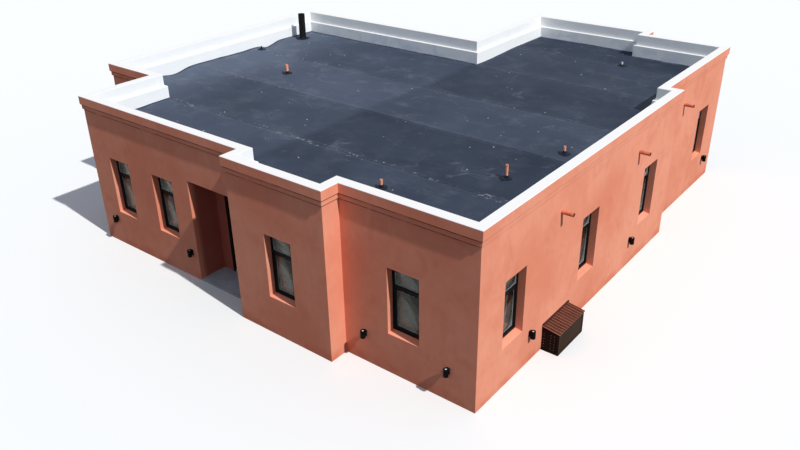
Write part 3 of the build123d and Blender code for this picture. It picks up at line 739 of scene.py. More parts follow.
COATED = {
    "black_aluminium": ((8, 8, 9), (17, 17, 19), 0.42, dict(dusty=0.07, shine=0.07)),
    "door_paint": ((20, 21, 23), (30, 31, 34), 0.42, dict(dusty=0.12, shine=0.18)),
    "light_black": ((7, 6, 7), (14, 13, 14), 0.48, dict(dusty=0.05, shine=0.06)),
    "spacer_metal": ((172, 174, 176), (148, 150, 153), 0.36, dict(metallic=1.0, dusty=0.0)),
    "flue_black": ((14, 14, 16), (27, 26, 26), 0.55, dict(dusty=0.12, shine=0.14)),
    "rubber_seal": ((168, 166, 162), (142, 140, 137), 0.75, dict(dusty=0.1, shine=0.10)),
    "satin_steel": ((176, 177, 178), (150, 151, 153), 0.34, dict(metallic=1.0)),
    "vent_plastic": ((250, 180, 142), (226, 138, 102), 0.60, dict(shine=0.25, scale=22.0)),
    "spout_paint": ((220, 134, 106), (194, 108, 84), 0.70, dict(shine=0.15, scale=9.0)),
    # Dark inside a spout: partly dirt on bare pipe, partly painted shade in the hollow.
    "spout_bore_dirt_and_shade": ((30, 17, 14), (48, 28, 23), 0.85, dict(dusty=0.0, shine=0.10)),
    "white_plastic": ((226, 226, 222), (200, 200, 195), 0.50, dict(shine=0.3)),
    "collar_bitumen": ((14, 19, 28), (31, 38, 51), 0.58,
                       dict(peel=0.0010, dusty=0.03, scale=14.0, shine=0.08)),
    "foot_primer": ((42, 50, 64), (66, 74, 90), 0.66, dict(peel=0.0006, dusty=0.15, shine=0.10)),
    "light_lens": ((236, 236, 232), (218, 218, 212), 0.30, dict(dusty=0.1)),
    "mortar_crumb": ((198, 200, 202), (164, 164, 162), 0.80, {}),
}
FINISHES = {
    name: coated(name, colour(*main), colour(*second), roughness, **others)
    for name, (main, second, roughness, others) in COATED.items()
}
print("coated finishes", len(FINISHES))

# %% [markdown]
# ## Glass, and the concrete floor
#
# The panes are clear glass with faint smears where rain has dried. Nothing is painted on them: what
# they show is the dark room behind and the pale surroundings in front. The floor indoors and in the
# recess is bare concrete, laid by hand like the render, so it uses the same relief.

# %% Materials: glass and concrete
window_glass, tree, place, facing = new_finish("window_glass")
smears = eased(tree, cloudy(tree, place, 3.0, 5.0, 0.6, 0.5), 0.45, 0.75)
close_finish(
    tree,
    Base_Color=mixed(tree, smears, colour(226, 234, 232), colour(206, 214, 212)),
    Roughness=times(tree, smears, 0.05),
    Transmission_Weight=1.0,
    IOR=1.45,
)

concrete, tree, place, facing = new_finish("concrete")
relief = use_group(tree, HAND_LAID, Vector=place, Wave_Depth=0.002, Trowel_Depth=0.0008,
                   Grain_Depth=0.0005)
stained = eased(tree, cloudy(tree, place, 1.8, 6.0, 0.65), 0.35, 0.7)
close_finish(
    tree,
    height=relief["Height"],
    Base_Color=mixed(tree, stained, colour(156, 158, 164), colour(182, 184, 188)),
    Roughness=eased(tree, relief["Tone"], 0.3, 0.7, 0.7, 0.9),
    Specular_IOR_Level=0.3,
)
print(concrete.name, "nodes", len(tree.nodes))

# %% [markdown]
# ## Stained timber
#
# The cover beside the right wall is stained softwood. Its grain is soft noise drawn out along the
# boards, which run two ways, so the way a face looks picks the direction. Along the front edge and the
# outer end of each slat the stain is paler: partly wear where feet and brushes pass, partly painted
# highlight where those edges meet the lamp. The dark boards are painted paler on the side towards the
# lamp, as painted light.

# %% Materials: stained timber
SLATS = solids("cover_lid")
SLAT_PITCH = SLATS[1][0].y - SLATS[0][0].y
WORN_AND_LIT_EDGE = 0.011


def board_grain(tree, place, facing):
    """Long grain that runs along X, or along Y on a board that faces sideways."""
    lengths = ((3.0, 60.0, 60.0), (60.0, 3.0, 60.0))
    along_x, along_y = (cloudy(tree, drawn_out(tree, place, run), 1.0, 5.0, 0.6, 0.8) for run in lengths)
    sideways = parts_of(tree, facing)["X"]
    sideways = eased(tree, sums(tree, "ABSOLUTE", sideways), 0.5, 0.8)
    return sums(tree, "MULTIPLY_ADD", sideways, sums(tree, "SUBTRACT", along_y, along_x), along_x)


def worn_and_lit_slat_edges(tree, place, facing):
    """1 along the front edge of each slat and on its outer end: partly wear, partly painted highlight where
    those edges meet the lamp.
    """
    ways = parts_of(tree, facing)
    from_front = sums(tree, "SUBTRACT", parts_of(tree, place)["Y"], SLATS[0][0].y)
    from_front = sums(tree, "FLOORED_MODULO", from_front, SLAT_PITCH)
    edge = times(tree, eased(tree, from_front, WORN_AND_LIT_EDGE * 0.7, WORN_AND_LIT_EDGE, 1.0, 0.0),
                eased(tree, ways["Z"], 0.3, 0.6))
    return sums(tree, "MAXIMUM", edge, eased(tree, ways["X"], 0.6, 0.9))


def stained_timber(name, dark, light, dry, edges=None, lit_side=None):
    """Stained softwood with dry pale wear, and, where given, pale slat edges (wear and painted highlight) or
    a side painted paler towards the lamp.
    """
    finish, tree, place, facing = new_finish(name)
    grain = board_grain(tree, place, facing)
    slow = eased(tree, cloudy(tree, place, 4.0, 4.0, 0.6), 0.4, 0.7)
    skin = mixed(tree, eased(tree, grain, 0.35, 0.65), dark, light)
    skin = mixed(tree, times(tree, slow, 0.35), skin, dry)
    if edges:
        # Pale slat edges: partly wear, partly painted highlight.
        worn = times(tree, worn_and_lit_slat_edges(tree, place, facing), eased(tree, grain, 0.25, 0.5, 0.6, 0.9))
        skin = mixed(tree, worn, skin, edges)
    if lit_side:
        # Painted light: the side that faces the lamp is made paler.
        lamp_facing = parts_of(tree, facing)["X"]
        skin = mixed(tree, eased(tree, lamp_facing, 0.5, 0.9, 0.0, 0.65), skin, lit_side)
    close_finish(
        tree,
        height=times(tree, grain, 0.0012),
        Base_Color=skin,
        Roughness=eased(tree, grain, 0.3, 0.7, 0.66, 0.88),
        Specular_IOR_Level=0.12,
    )
    return finish


# The pale edge colour of the slats is partly wear and partly painted highlight.
cover_timber = stained_timber("cover_timber", colour(68, 31, 23), colour(96, 51, 38), colour(114, 68, 53),
                              edges=colour(176, 126, 104))
cover_rail_stain = stained_timber("cover_rail_stain", colour(62, 26, 20), colour(90, 42, 32),
                                  colour(106, 58, 45))
# The boards' side towards the lamp is painted paler, as painted light.
cover_boards = stained_timber("cover_boards", colour(20, 8, 8), colour(38, 18, 15), colour(54, 32, 26),
                              lit_side=colour(68, 54, 43))
print("materials", len(bpy.data.materials))

# %% [markdown]
# ## Finishes for the pieces that keep their shape
#
# Each node names its finish in the record. A table from that name to the material above dresses all
# of them in one loop, and the pieces that are rebuilt further on hide the nodes they stand for.

# %% Dress the model's own pieces
FINISHES |= {
    "wall_render": wall_render, "parapet_paint": parapet_paint, "roof_membrane": roof_sheet,
    "window_glass": window_glass, "concrete": concrete, "cover_timber": cover_timber,
    "cover_boards": cover_boards, "cover_rail_stain": cover_rail_stain,
}
for part in frame["record"]["subparts"]:
    materials = NODES[part["node"]].data.materials
    materials.clear()
    materials.append(FINISHES[part["material_slot"]])

# %% [markdown]
# ## The parapet and its cornice
#
# One moulded section runs round all sixteen corners. It could be swept along a curve, but a sweep
# thins at a square corner, and a real cornice keeps its full width there. So each point of the
# section is moved along the corner's mitre, and every run is stretched between two mitres. The
# arrises are rounded as a float leaves them, and soft noise lets every line wander a few millimetres.
# The render stops just below the top arris, where the white paint begins.

# %% Section of the parapet
BAND_PROJECTION = high("right_parapet").x - RIGHT
FILLET_PROJECTION = BAND_PROJECTION / 2
PARAPET_TOP, PARAPET_FOOT = 0.165, 0.225
PAINT_OVERLAP = 0.010
ARRIS, ARRIS_STEPS, ARRIS_SHARE = 0.008, 3, 0.4
FLAT_KEPT, FLAT_SHARE = 0.003, 0.08
GROOVE = 0.012

SECTION = [
    (0, WALL_TOP), (0, FILLET_FOOT - GROOVE), (GROOVE, FILLET_FOOT - GROOVE), (GROOVE, FILLET_FOOT),
    (-FILLET_PROJECTION, FILLET_FOOT), (-FILLET_PROJECTION, BAND_FOOT - GROOVE),
    (GROOVE - FILLET_PROJECTION, BAND_FOOT - GROOVE), (GROOVE - FILLET_PROJECTION, BAND_FOOT),
    (-BAND_PROJECTION, BAND_FOOT), (-BAND_PROJECTION, COPING), (PARAPET_TOP, COPING),
    (PARAPET_TOP, LEDGE), (PARAPET_FOOT, LEDGE), (PARAPET_FOOT, WALL_TOP),
]


def rounded(section, radius, steps):
    """The section with every corner turned into a curve that its sides have room for.

    A point a little way along each side keeps the flat beside the curve flat when it is shaded.
    """
    soft = [section[0]]
    for before, corner, after in zip(section, section[1:], section[2:]):
        corner = Vector(corner)
        back, on = Vector(before) - corner, Vector(after) - corner
        room_for = min(radius, back.length * ARRIS_SHARE, on.length * ARRIS_SHARE)
        start = corner + back.normalized() * room_for
        finish = corner + on.normalized() * room_for
        soft.append(tuple(start + back.normalized() * min(FLAT_KEPT, back.length * FLAT_SHARE)))
        for step in range(steps + 1):
            t = step / steps
            soft.append(tuple((1 - t) ** 2 * start + 2 * t * (1 - t) * corner + t * t * finish))
        soft.append(tuple(finish + on.normalized() * min(FLAT_KEPT, on.length * FLAT_SHARE)))
    return soft + [section[-1]]


SOFT_SECTION = rounded(SECTION, ARRIS, ARRIS_STEPS)
print("points in the section", len(SECTION), "softened", len(SOFT_SECTION))

# %% Runs of the parapet, mitred at every corner
RUN_STEP = 0.16
WANDER_DEPTH, RIPPLE_DEPTH = 0.004, 0.0015


def heading(index):
    """The direction in which a side of the plan runs."""
    start, finish = Vector(CORNERS[index % CORNER_COUNT]), Vector(CORNERS[(index + 1) % CORNER_COUNT])
    return (finish - start).normalized()


def mitred(index, inset):
    """A corner of the plan, moved in from both of the sides that meet there."""
    before, after = heading(index - 1), heading(index)
    inwards = Vector((-before.y, before.x)) + Vector((-after.y, after.x))
    return Vector(CORNERS[index % CORNER_COUNT]) + inwards * inset


def parapet_run(index):
    """Points, faces and finishes of one run, closed at both of its mitres."""
    length = (Vector(CORNERS[(index + 1) % CORNER_COUNT]) - Vector(CORNERS[index])).length
    steps = max(2, round(length / RUN_STEP))
    points, faces, finishes = [], [], []
    for step in range(steps + 1):
        for inset, level in SOFT_SECTION:
            nominal = mitred(index, inset).lerp(mitred(index + 1, inset), step / steps).to_3d()
            nominal.z = level
            slack = sag = 0
            if level > WALL_TOP:
                slack = wander(nominal, 1.3) * WANDER_DEPTH + wander(nominal, 7.0, 3) * RIPPLE_DEPTH
                sag = wander(nominal, 1.1, 9) * WANDER_DEPTH
            place = mitred(index, inset + slack).lerp(mitred(index + 1, inset + slack), step / steps)
            points.append((place.x, place.y, level - sag))
    count = len(SOFT_SECTION)
    for step in range(steps):
        for k in range(count):
            after = (k + 1) % count
            faces.append((step * count + k, step * count + after, (step + 1) * count + after,
                          (step + 1) * count + k))
            middle = (Vector(SOFT_SECTION[k]) + Vector(SOFT_SECTION[after])) / 2
            painted = middle.y > COPING - PAINT_OVERLAP or middle.x > PARAPET_TOP - ARRIS
            finishes.append(1 if painted else 0)
    for row in (0, steps):
        faces.append(tuple(row * count + k for k in range(count)))
        finishes.append(0)
    return points, faces, finishes


print("points in the first run", len(parapet_run(0)[0]))

# %% The four cornices
SIDES = {(1, 0): "front", (0, 1): "right", (-1, 0): "back", (0, -1): "left"}
runs = {way: ([], [], []) for way in SIDES.values()}
for index in range(CORNER_COUNT):
    points, faces, finishes = parapet_run(index)
    all_points, all_faces, all_finishes = runs[SIDES[tuple(round(part) for part in heading(index))]]
    all_faces.extend(tuple(k + len(all_points) for k in face) for face in faces)
    all_points.extend(points)
    all_finishes.extend(finishes)
for way, (points, faces, finishes) in runs.items():
    mesh = mesh_of(f"{way}_cornice", points, faces, finishes)
    cornice = add_object(f"{way}_cornice", mesh, "wall_render", "parapet_paint")
    settle(cornice, replaced=[f"{way}_parapet"])

# %% [markdown]
# ## The roof covering
#
# The screed falls to the right, where three spouts take the water, with low ridges between them. The
# sheets over it are rolled out from side to side, and each strip laps over the one in front of it.
# A height rule gives the screed, and a grid of points whose lines fall on every lap and corner turns
# it into strips with crisp edges. Geometry follows the rule, so the light shows each slope.

# %% The roof's height
ROOF_LOW, ROOF_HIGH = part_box("roof_covering")
ROOF_FALL = 0.003
SPOUT_PLACES = [((start + finish) / 2).y for start, finish in solids("roof_spouts")]
PIPE_BOXES = solids("vent_pipes") + solids("roof_flue")
SUMP_LENGTH, SUMP_WIDTH, SUMP_EDGE = 0.30, 0.26, 0.035
SUMP_FLOOR = WALL_TOP + 0.035
RIDGE_HEIGHT, RIDGE_REACH = 0.022, 1.75
SWELL_DEPTH, DIMPLE_DEPTH = 0.014, 0.006
HOLLOWS = ((-6.0, -2.55, 0.60, 0.085), (-6.0, 0.85, 0.55, 0.095), (-4.3, -4.9, 0.5, 0.03))
HOLLOW_REACH = 0.55
LEVEL_AT_PIPE, LEVEL_BLEND = 0.12, 0.4


def smooth_step(value):
    """0 below 0, 1 above 1, and an even curve between."""
    value = min(1.0, max(0.0, value))
    return value * value * (3 - 2 * value)


def plain_roof(x):
    """The even fall of the roof, without the marks of the hand."""
    return ROOF_HIGH.z - ROOF_FALL * (x - ROOF_LOW.x)


def roof_height(x, y):
    """The height of the screed under the sheets."""
    ridge = min(abs(y - spout) for spout in SPOUT_PLACES) / RIDGE_REACH
    lift = RIDGE_HEIGHT * (smooth_step(ridge) - 0.5)
    lift += SWELL_DEPTH * (wander((x, y, 0), 0.55, 4) - 0.5) * 2
    lift += DIMPLE_DEPTH * (wander((x, y, 0), 1.9, 11) - 0.5) * 2
    for hollow_x, hollow_y, spread, depth in HOLLOWS:
        across = smooth_step(1 - abs(x - hollow_x) / HOLLOW_REACH)
        lift -= depth * across * smooth_step(1 - abs(y - hollow_y) / spread)
    for start, finish in PIPE_BOXES:
        reach = (Vector((x, y)) - ((start + finish) / 2).to_2d()).length
        lift *= smooth_step((reach - LEVEL_AT_PIPE) / LEVEL_BLEND)
    height = plain_roof(x) + lift
    for spout in SPOUT_PLACES:
        wall_face = (RIGHT if spout < SIDE_STEP else REAR_RIGHT) - PARAPET_FOOT
        out_x = (wall_face - SUMP_WIDTH - x) / SUMP_EDGE
        out_y = (abs(y - spout) - SUMP_LENGTH / 2) / SUMP_EDGE
        edge = smooth_step(max(out_x, out_y))
        height = SUMP_FLOOR + (height - SUMP_FLOOR) * edge
    return height


print("roof height left, middle, right", [round(roof_height(x, 0), 3) for x in (-5.9, 0, 5.8)])

# %% [markdown]
# ## Strips of sheet
#
# Each strip is a patch of one grid. A modifier could thicken and lap flat sheets, but lines that fall
# exactly on the laps, the sumps and the corners of the plan are easier to get by listing them first.
# A face is kept where its middle lies inside the foot of the parapet. The tone of each point and the
# dust beside a lap go into the mesh as attributes, and the edge is turned down and closed below.

# %% Grid lines
LAPS = (-4.05, -1.85, 0.35, 2.75, 4.95)
GRID_STEP = 0.065
TONE_CHANGES_AT = 0.2
INNER = [mitred(index, PARAPET_FOOT) for index in range(CORNER_COUNT)]


def grid_lines(start, finish, marks):
    """Grid lines from start to finish that include every mark between them."""
    stops = sorted({round(start, 5), round(finish, 5)} | {round(m, 5) for m in marks if start < m < finish})
    lines = []
    for first, second in zip(stops, stops[1:]):
        count = max(1, round((second - first) / GRID_STEP))
        lines += [first + (second - first) * k / count for k in range(count)]
    return lines + [stops[-1]]


def on_roof(x, y):
    """Whether a place lies inside the foot of the parapet."""
    inside = False
    for start, finish in zip(INNER, INNER[1:] + INNER[:1]):
        if (start.y > y) != (finish.y > y) and x < start.x:
            inside = not inside
    return inside


def near_marks(centre, half):
    """The lines on both sides of a sump's edges."""
    return [centre + side * (half + out) for side in (-1, 1) for out in (0, SUMP_EDGE / 2, SUMP_EDGE)]


x_marks = [corner.x for corner in INNER] + [TONE_CHANGES_AT]
y_marks = [corner.y for corner in INNER]
for spout in SPOUT_PLACES:
    y_marks += near_marks(spout, SUMP_LENGTH / 2)
    x_marks += near_marks((RIGHT if spout < SIDE_STEP else REAR_RIGHT) - PARAPET_FOOT, SUMP_WIDTH)
COLUMNS = grid_lines(min(c.x for c in INNER), max(c.x for c in INNER), x_marks)
print("columns", len(COLUMNS))

# %% One strip
STRIP_TONES = (0.46, 0.34, 0.57, 0.38, 0.44, 0.36)
LAP_WIDTH, LAP_FLAT, LAP_LIP, LAP_WANDER = 0.09, 0.03, 0.006, 0.03
SHEET_THICKNESS = 0.0045
DUST_REACH = 0.13


def sheet_tone(number, x, y):
    """How pale a strip is at a place: a little less on the right, and much more at the far left."""
    side = 0.06 - 0.22 * smooth_step((x - 0.05) / 0.35)
    left = 0.66 * smooth_step((-3.4 - x) / 2.6)
    return min(1, max(0, STRIP_TONES[number] + side + left + 0.2 * (wander((x, y, 0), 0.7, 31) - 0.5)))


def dust_beside_lap(x, y):
    """How much dust has gathered beside the nearest lap."""
    gap = min(abs(y - lap) for lap in LAPS)
    return smooth_step(1 - gap / DUST_REACH) * wander((x, y, 0), 1.4, 41)


def strip_mesh(number, front, back):
    """One strip of sheet: its points, faces, tones and dust, with its edges turned down."""
    lap_marks = [front + out for out in (LAP_LIP, LAP_FLAT, LAP_WIDTH)]
    rows = grid_lines(front, back, y_marks + lap_marks + [back - LAP_WIDTH])
    numbers, points, faces, tones, dusts = {}, [], [], [], []

    def corner(row, column):
        key = (row, column)
        if key not in numbers:
            x, y = COLUMNS[column], rows[row]
            on_edge = row == 0 and number > 0
            shift = (wander((x, y, 0), 2.2, 20 + number) - 0.5) * LAP_WANDER if on_edge else 0
            lapped = smooth_step(1 - (y - front - LAP_FLAT) / LAP_WIDTH) if number else 0
            numbers[key] = len(points)
            points.append((x, y + shift, roof_height(x, y) + SHEET_THICKNESS * lapped))
            tones.append(sheet_tone(number, x, y))
            dusts.append(dust_beside_lap(x, y))
        return numbers[key]

    for row in range(len(rows) - 1):
        for column in range(len(COLUMNS) - 1):
            if on_roof((COLUMNS[column] + COLUMNS[column + 1]) / 2, (rows[row] + rows[row + 1]) / 2):
                faces.append((corner(row, column), corner(row, column + 1), corner(row + 1, column + 1),
                              corner(row + 1, column)))
    return points, faces, tones, dusts


print("tone of the first strip, left and right", [round(sheet_tone(0, x, -5), 2) for x in (-5.9, 5.8)])

# %% All the strips, closed underneath
SKIRT = 0.05
ABOVE_SUMPS = 2.9


def close_underneath(work):
    """Turns the open edge of a sheet down and closes it below."""
    rim = [edge for edge in work.edges if edge.is_boundary]
    dropped = bmesh.ops.extrude_edge_only(work, edges=rim)["geom"]
    for item in dropped:
        if isinstance(item, bmesh.types.BMVert):
            under = min(item.co.z, plain_roof(item.co.x)) - SKIRT
            item.co.z = under if item.co.z > ABOVE_SUMPS else WALL_TOP
    edges = [item for item in dropped if isinstance(item, bmesh.types.BMEdge) and item.is_boundary]
    bmesh.ops.contextual_create(work, geom=edges)


roof_points, roof_faces, roof_tones, roof_dusts = [], [], [], []
bounds_of_strips = [min(c.y for c in INNER), *LAPS, max(c.y for c in INNER)]
for number, (front, back) in enumerate(zip(bounds_of_strips, bounds_of_strips[1:])):
    reach_back = back + (LAP_WIDTH if number < len(LAPS) else 0)
    points, faces, tones, dusts = strip_mesh(number, front, reach_back)
    roof_faces += [tuple(k + len(roof_points) for k in face) for face in faces]
    roof_points += points
    roof_tones += tones
    roof_dusts += dusts
mesh = bpy.data.meshes.new("roof_sheets")
mesh.from_pydata(roof_points, [], roof_faces)
for name, values in (("strip_tone", roof_tones), ("lap_dust", roof_dusts)):
    mesh.attributes.new(name, "FLOAT", "POINT").data.foreach_set("value", values)
work = bmesh.new()
work.from_mesh(mesh)
close_underneath(work)
bmesh.ops.recalc_face_normals(work, faces=work.faces)
work.to_mesh(mesh)
work.free()
mesh.shade_smooth()
mesh.set_sharp_from_angle(angle=SHARP_ANGLE)
roof_sheets = add_object("roof_sheets", mesh, "roof_membrane")
settle(roof_sheets, replaced=["roof_covering"])

# %% [markdown]
# ## Recipes made of geometry nodes
#
# Screws, slats, seals and crumbs are the same small shape again and again, so each is a recipe: a
# tree of geometry nodes with named sizes. A recipe is cooked on an object, which turns its result
# into a plain mesh, and the modifier is taken off again, so that only the finished shape is left.

# %% Helpers for recipes
def new_recipe(name, sizes):
    """A tree with a geometry input, a finish input and named sizes. Returns tree, inputs and end."""
    tree = bpy.data.node_groups.new(name, "GeometryNodeTree")
    tree.interface.new_socket("Geometry", in_out="INPUT", socket_type="NodeSocketGeometry")
    tree.interface.new_socket("Finish", in_out="INPUT", socket_type="NodeSocketMaterial")
    for label, value in sizes.items():
        kind = "NodeSocketInt" if isinstance(value, int) else "NodeSocketFloat"
        socket = tree.interface.new_socket(label, in_out="INPUT", socket_type=kind)
        socket.default_value = value
    tree.interface.new_socket("Geometry", in_out="OUTPUT", socket_type="NodeSocketGeometry")
    return tree, tree.nodes.new("NodeGroupInput").outputs, tree.nodes.new("NodeGroupOutput")


def serve(tree, given, end, geometry):
    """Ends a recipe: instances are made real, and the result gets its finish."""
    real = put(tree, "GeometryNodeRealizeInstances", {"Geometry": geometry}).outputs[0]
    painted = put(tree, "GeometryNodeSetMaterial", {"Geometry": real, "Material": given["Finish"]})
    tree.links.new(painted.outputs[0], end.inputs["Geometry"])


def cook(name, recipe, mesh, finish, **sizes):
    """A new object with the plain mesh that a recipe makes from another mesh."""
    piece = bpy.data.objects.new(name, mesh)
    bpy.context.scene.collection.objects.link(piece)
    modifier = piece.modifiers.new(recipe.name, "NODES")
    modifier.node_group = recipe
    values = {"Finish": FINISHES[finish], **{key.replace("_", " "): value for key, value in sizes.items()}}
    for item in recipe.interface.items_tree:
        if item.item_type == "SOCKET" and item.in_out == "INPUT" and item.name in values:
            modifier[item.identifier] = values[item.name]
    bpy.context.view_layer.update()
    cooked = bpy.data.meshes.new_from_object(piece.evaluated_get(bpy.context.evaluated_depsgraph_get()))
    piece.modifiers.remove(modifier)
    piece.data = cooked
    return piece


def points_mesh(name, places, edges=(), directions=None):
    """A mesh of bare points or lines, with a direction on each point where one is given."""
    mesh = bpy.data.meshes.new(name)
    mesh.from_pydata([tuple(place) for place in places], list(edges), [])
    if directions:
        values = [part for direction in directions for part in direction]
        mesh.attributes.new("direction", "FLOAT_VECTOR", "POINT").data.foreach_set("vector", values)
    return mesh


ready(new_recipe, serve, cook, points_mesh)

# %% [markdown]
# ## Soft boxes and turned shapes
#
# Plates, boards and cans are simple bodies whose edges are never quite sharp. A box with a small
# rounding on every edge, and a profile turned round an upright axis, make most of them. A piece of
# the model whose shape is right, but too sharp, is copied and its edges are rounded.

# %% Helpers for boxes and turned shapes
def add_soft_box(work, corner, opposite, rounding, number=0):
    """Adds a box with rounded edges between two corners. number is the place of its finish."""
    corner, opposite = Vector(corner), Vector(opposite)
    made = bmesh.ops.create_cube(work, size=1)["verts"]
    size = [abs(part) for part in opposite - corner]
    bmesh.ops.scale(work, vec=size, verts=made)
    bmesh.ops.translate(work, vec=(corner + opposite) / 2, verts=made)
    edges = {edge for vertex in made for edge in vertex.link_edges}
    for face in {face for vertex in made for face in vertex.link_faces}:
        face.material_index = number
    bmesh.ops.bevel(work, geom=list(edges), offset=rounding, segments=2, profile=0.5, affect="EDGES")


def add_turned(work, profile, centre, sides=32, number=0):
    """Adds a profile of radii and heights turned round an upright axis, and returns its points."""
    rings = []
    for radius, height in profile:
        if radius == 0:
            rings.append([work.verts.new((centre[0], centre[1], height))])
        else:
            rings.append([work.verts.new((centre[0] + radius * cos(tau * k / sides),
                                          centre[1] + radius * sin(tau * k / sides), height))
                          for k in range(sides)])
    for lower, upper in zip(rings, rings[1:]):
        for k in range(sides):
            after = (k + 1) % sides
            if len(lower) == 1:
                corners = (lower[0], upper[after], upper[k])
            elif len(upper) == 1:
                corners = (lower[k], lower[after], upper[0])
            else:
                corners = (lower[k], lower[after], upper[after], upper[k])
            work.faces.new(corners).material_index = number
    return [vertex for ring in rings for vertex in ring]


def tube_profile(radius, bore, foot, top, bead):
    """The closed profile of an open pipe, with a rounded bead at its mouth."""
    return (
        (bore, foot), (radius, foot), (radius, top - 3.0 * bead), (radius + 0.7 * bead, top - 2.2 * bead),
        (radius + bead, top - 1.2 * bead), (radius + 0.7 * bead, top - 0.3 * bead), (radius, top),
        (bore + 0.5 * bead, top), (bore, top - 0.5 * bead), (bore, foot),
    )


ready(add_soft_box, add_turned, tube_profile)

# %% Helpers that finish and soften
FLAT_ANGLE, EDGE_ANGLE = radians(1), radians(25)


def finish_work(name, work, *finishes):
    """Turns finished mesh work into an object with closed seams, outward faces and crisp edges."""
    bmesh.ops.remove_doubles(work, verts=work.verts, dist=MERGE_DISTANCE)
    bmesh.ops.recalc_face_normals(work, faces=work.faces)
    mesh = bpy.data.meshes.new(name)
    work.to_mesh(mesh)
    work.free()
    mesh.shade_smooth()
    mesh.set_sharp_from_angle(angle=SHARP_ANGLE)
    return add_object(name, mesh, *finishes)


def softened(node, name, rounding, *finishes):
    """A copy of a piece with every edge rounded a little."""
    work = merged_copy(node)
    bmesh.ops.dissolve_limit(work, angle_limit=FLAT_ANGLE, verts=work.verts, edges=work.edges)
    edges = [edge for edge in work.edges if edge.calc_face_angle(0) > EDGE_ANGLE]
    bmesh.ops.bevel(work, geom=edges, offset=rounding, segments=2, profile=0.5, affect="EDGES",
                    clamp_overlap=True)
    return finish_work(name, work, *finishes)


ready(finish_work, softened)

# %% [markdown]
# ## The foot of the parapet
#
# Where the sheet meets the parapet it is turned up a finger's width and brushed with dark primer. The
# white paint stops on it in a ragged line. A thin band that follows every side and corner, with an
# uneven top, makes that line real. It is laid out as the cornice is, one small section after another.

# %% The dark line at the foot
FOOT_STEP, FOOT_MIDDLE = 0.09, PARAPET_FOOT + 0.05
FOOT_RISE, FOOT_UNEVEN = 0.008, 0.016
FOOT_SPREAD, SPREAD_UNEVEN, FOOT_END = 0.045, 0.03, 0.085


def foot_section(x, y):
    """How far in and how high the points of the band lie at a place."""
    level = roof_height(x, y)
    top = level + FOOT_RISE + FOOT_UNEVEN * wander((x, y, 0), 2.6, 51) ** 2
    return ((0.000, level - 0.02), (0.000, top), (0.009, top - 0.001), (0.014, level + 0.014),
            (FOOT_SPREAD + SPREAD_UNEVEN * wander((x, y, 0), 3.1, 53), level + 0.004),
            (FOOT_END, level - 0.012))


points, faces = [], []
for index in range(CORNER_COUNT):
    start, finish = mitred(index, FOOT_MIDDLE), mitred(index + 1, FOOT_MIDDLE)
    steps = max(2, round((finish - start).length / FOOT_STEP))
    for step in range(steps):
        station = start.lerp(finish, step / steps)
        for inset, level in foot_section(*station):
            inset += PARAPET_FOOT
            place = mitred(index, inset).lerp(mitred(index + 1, inset), step / steps)
            points.append((place.x, place.y, level))
count = len(foot_section(0, 0))
stations = len(points) // count
for station in range(stations):
    following = (station + 1) % stations
    for k in range(count):
        after = (k + 1) % count
        faces.append((station * count + k, station * count + after, following * count + after,
                      following * count + k))
foot = add_object("parapet_foot", mesh_of("parapet_foot", points, faces), "foot_primer")
settle(foot)

# %% [markdown]
# ## Bitumen round the pipes
#
# Each pipe stands in a patch of bitumen that was spread by hand and drawn up round it. The patch is
# a disc in rings: its rim wanders out in tongues, its middle swells a little, and it climbs the pipe
# to a soft lip. One column of points is worked out for each direction, and columns are joined.

# %% Patches and collars
PATCH_SIDES = 40
PATCH_RIM, TONGUE = (0.045, 0.105), 0.07
CLIMB_LIMIT, CLIMB_SHARE = 0.065, 0.4
LUMP = 0.008


def patch_profile(radius, rim, climb, lump):
    """Distances out from a pipe's axis and heights over the sheet, from the lip to under the rim."""
    return (
        (radius - 0.002, climb), (radius + 0.003, climb - 0.002), (radius + 0.005, climb * 0.75),
        (radius + 0.008 + lump * 0.5, climb * 0.4), (radius + 0.016 + lump, climb * 0.16),
        (radius + 0.030 + lump, 0.010 + lump * 0.4), (radius + 0.75 * (rim - radius), 0.007 + lump * 0.4),
        (rim, 0.004), (rim + 0.004, 0.001), (rim + 0.014, -0.012),
    )


def add_patch(work, centre, radius, height, seed):
    """Adds a pipe's collar and the patch that it grows from, closed underneath."""
    climb = min(CLIMB_LIMIT, height * CLIMB_SHARE)
    rings = []
    for k in range(PATCH_SIDES):
        turn = tau * k / PATCH_SIDES
        heading_out = Vector((cos(turn), sin(turn)))
        flat = (cos(turn), sin(turn), 0)
        rim = radius + PATCH_RIM[0] + (PATCH_RIM[1] - PATCH_RIM[0]) * wander(flat, 1.3, seed)
        rim += TONGUE * wander(flat, 3.1, seed + 5) ** 2
        lump = LUMP * wander((cos(turn), sin(turn), 1), 2.4, seed + 9)
        column = []
        for out, rise in patch_profile(radius, rim, climb, lump):
            spot = Vector(centre) + heading_out * out
            ground_height = roof_height(spot.x, spot.y) + SHEET_THICKNESS * 0.5
            column.append(work.verts.new((spot.x, spot.y, ground_height + rise)))
        rings.append(column)
    for column, following in zip(rings, rings[1:] + rings[:1]):
        for k in range(len(column) - 1):
            work.faces.new((column[k], column[k + 1], following[k + 1], following[k]))
    work.faces.new([column[0] for column in rings])
    work.faces.new([column[-1] for column in reversed(rings)])


work = bmesh.new()
for number, (start, finish) in enumerate(PIPE_BOXES):
    middle = (start + finish) / 2
    add_patch(work, middle.to_2d(), (finish.x - start.x) / 2, finish.z - start.z, 60 + 7 * number)
patches = finish_work("pipe_patches", work, "collar_bitumen")
settle(patches, replaced=["pipe_collars"])

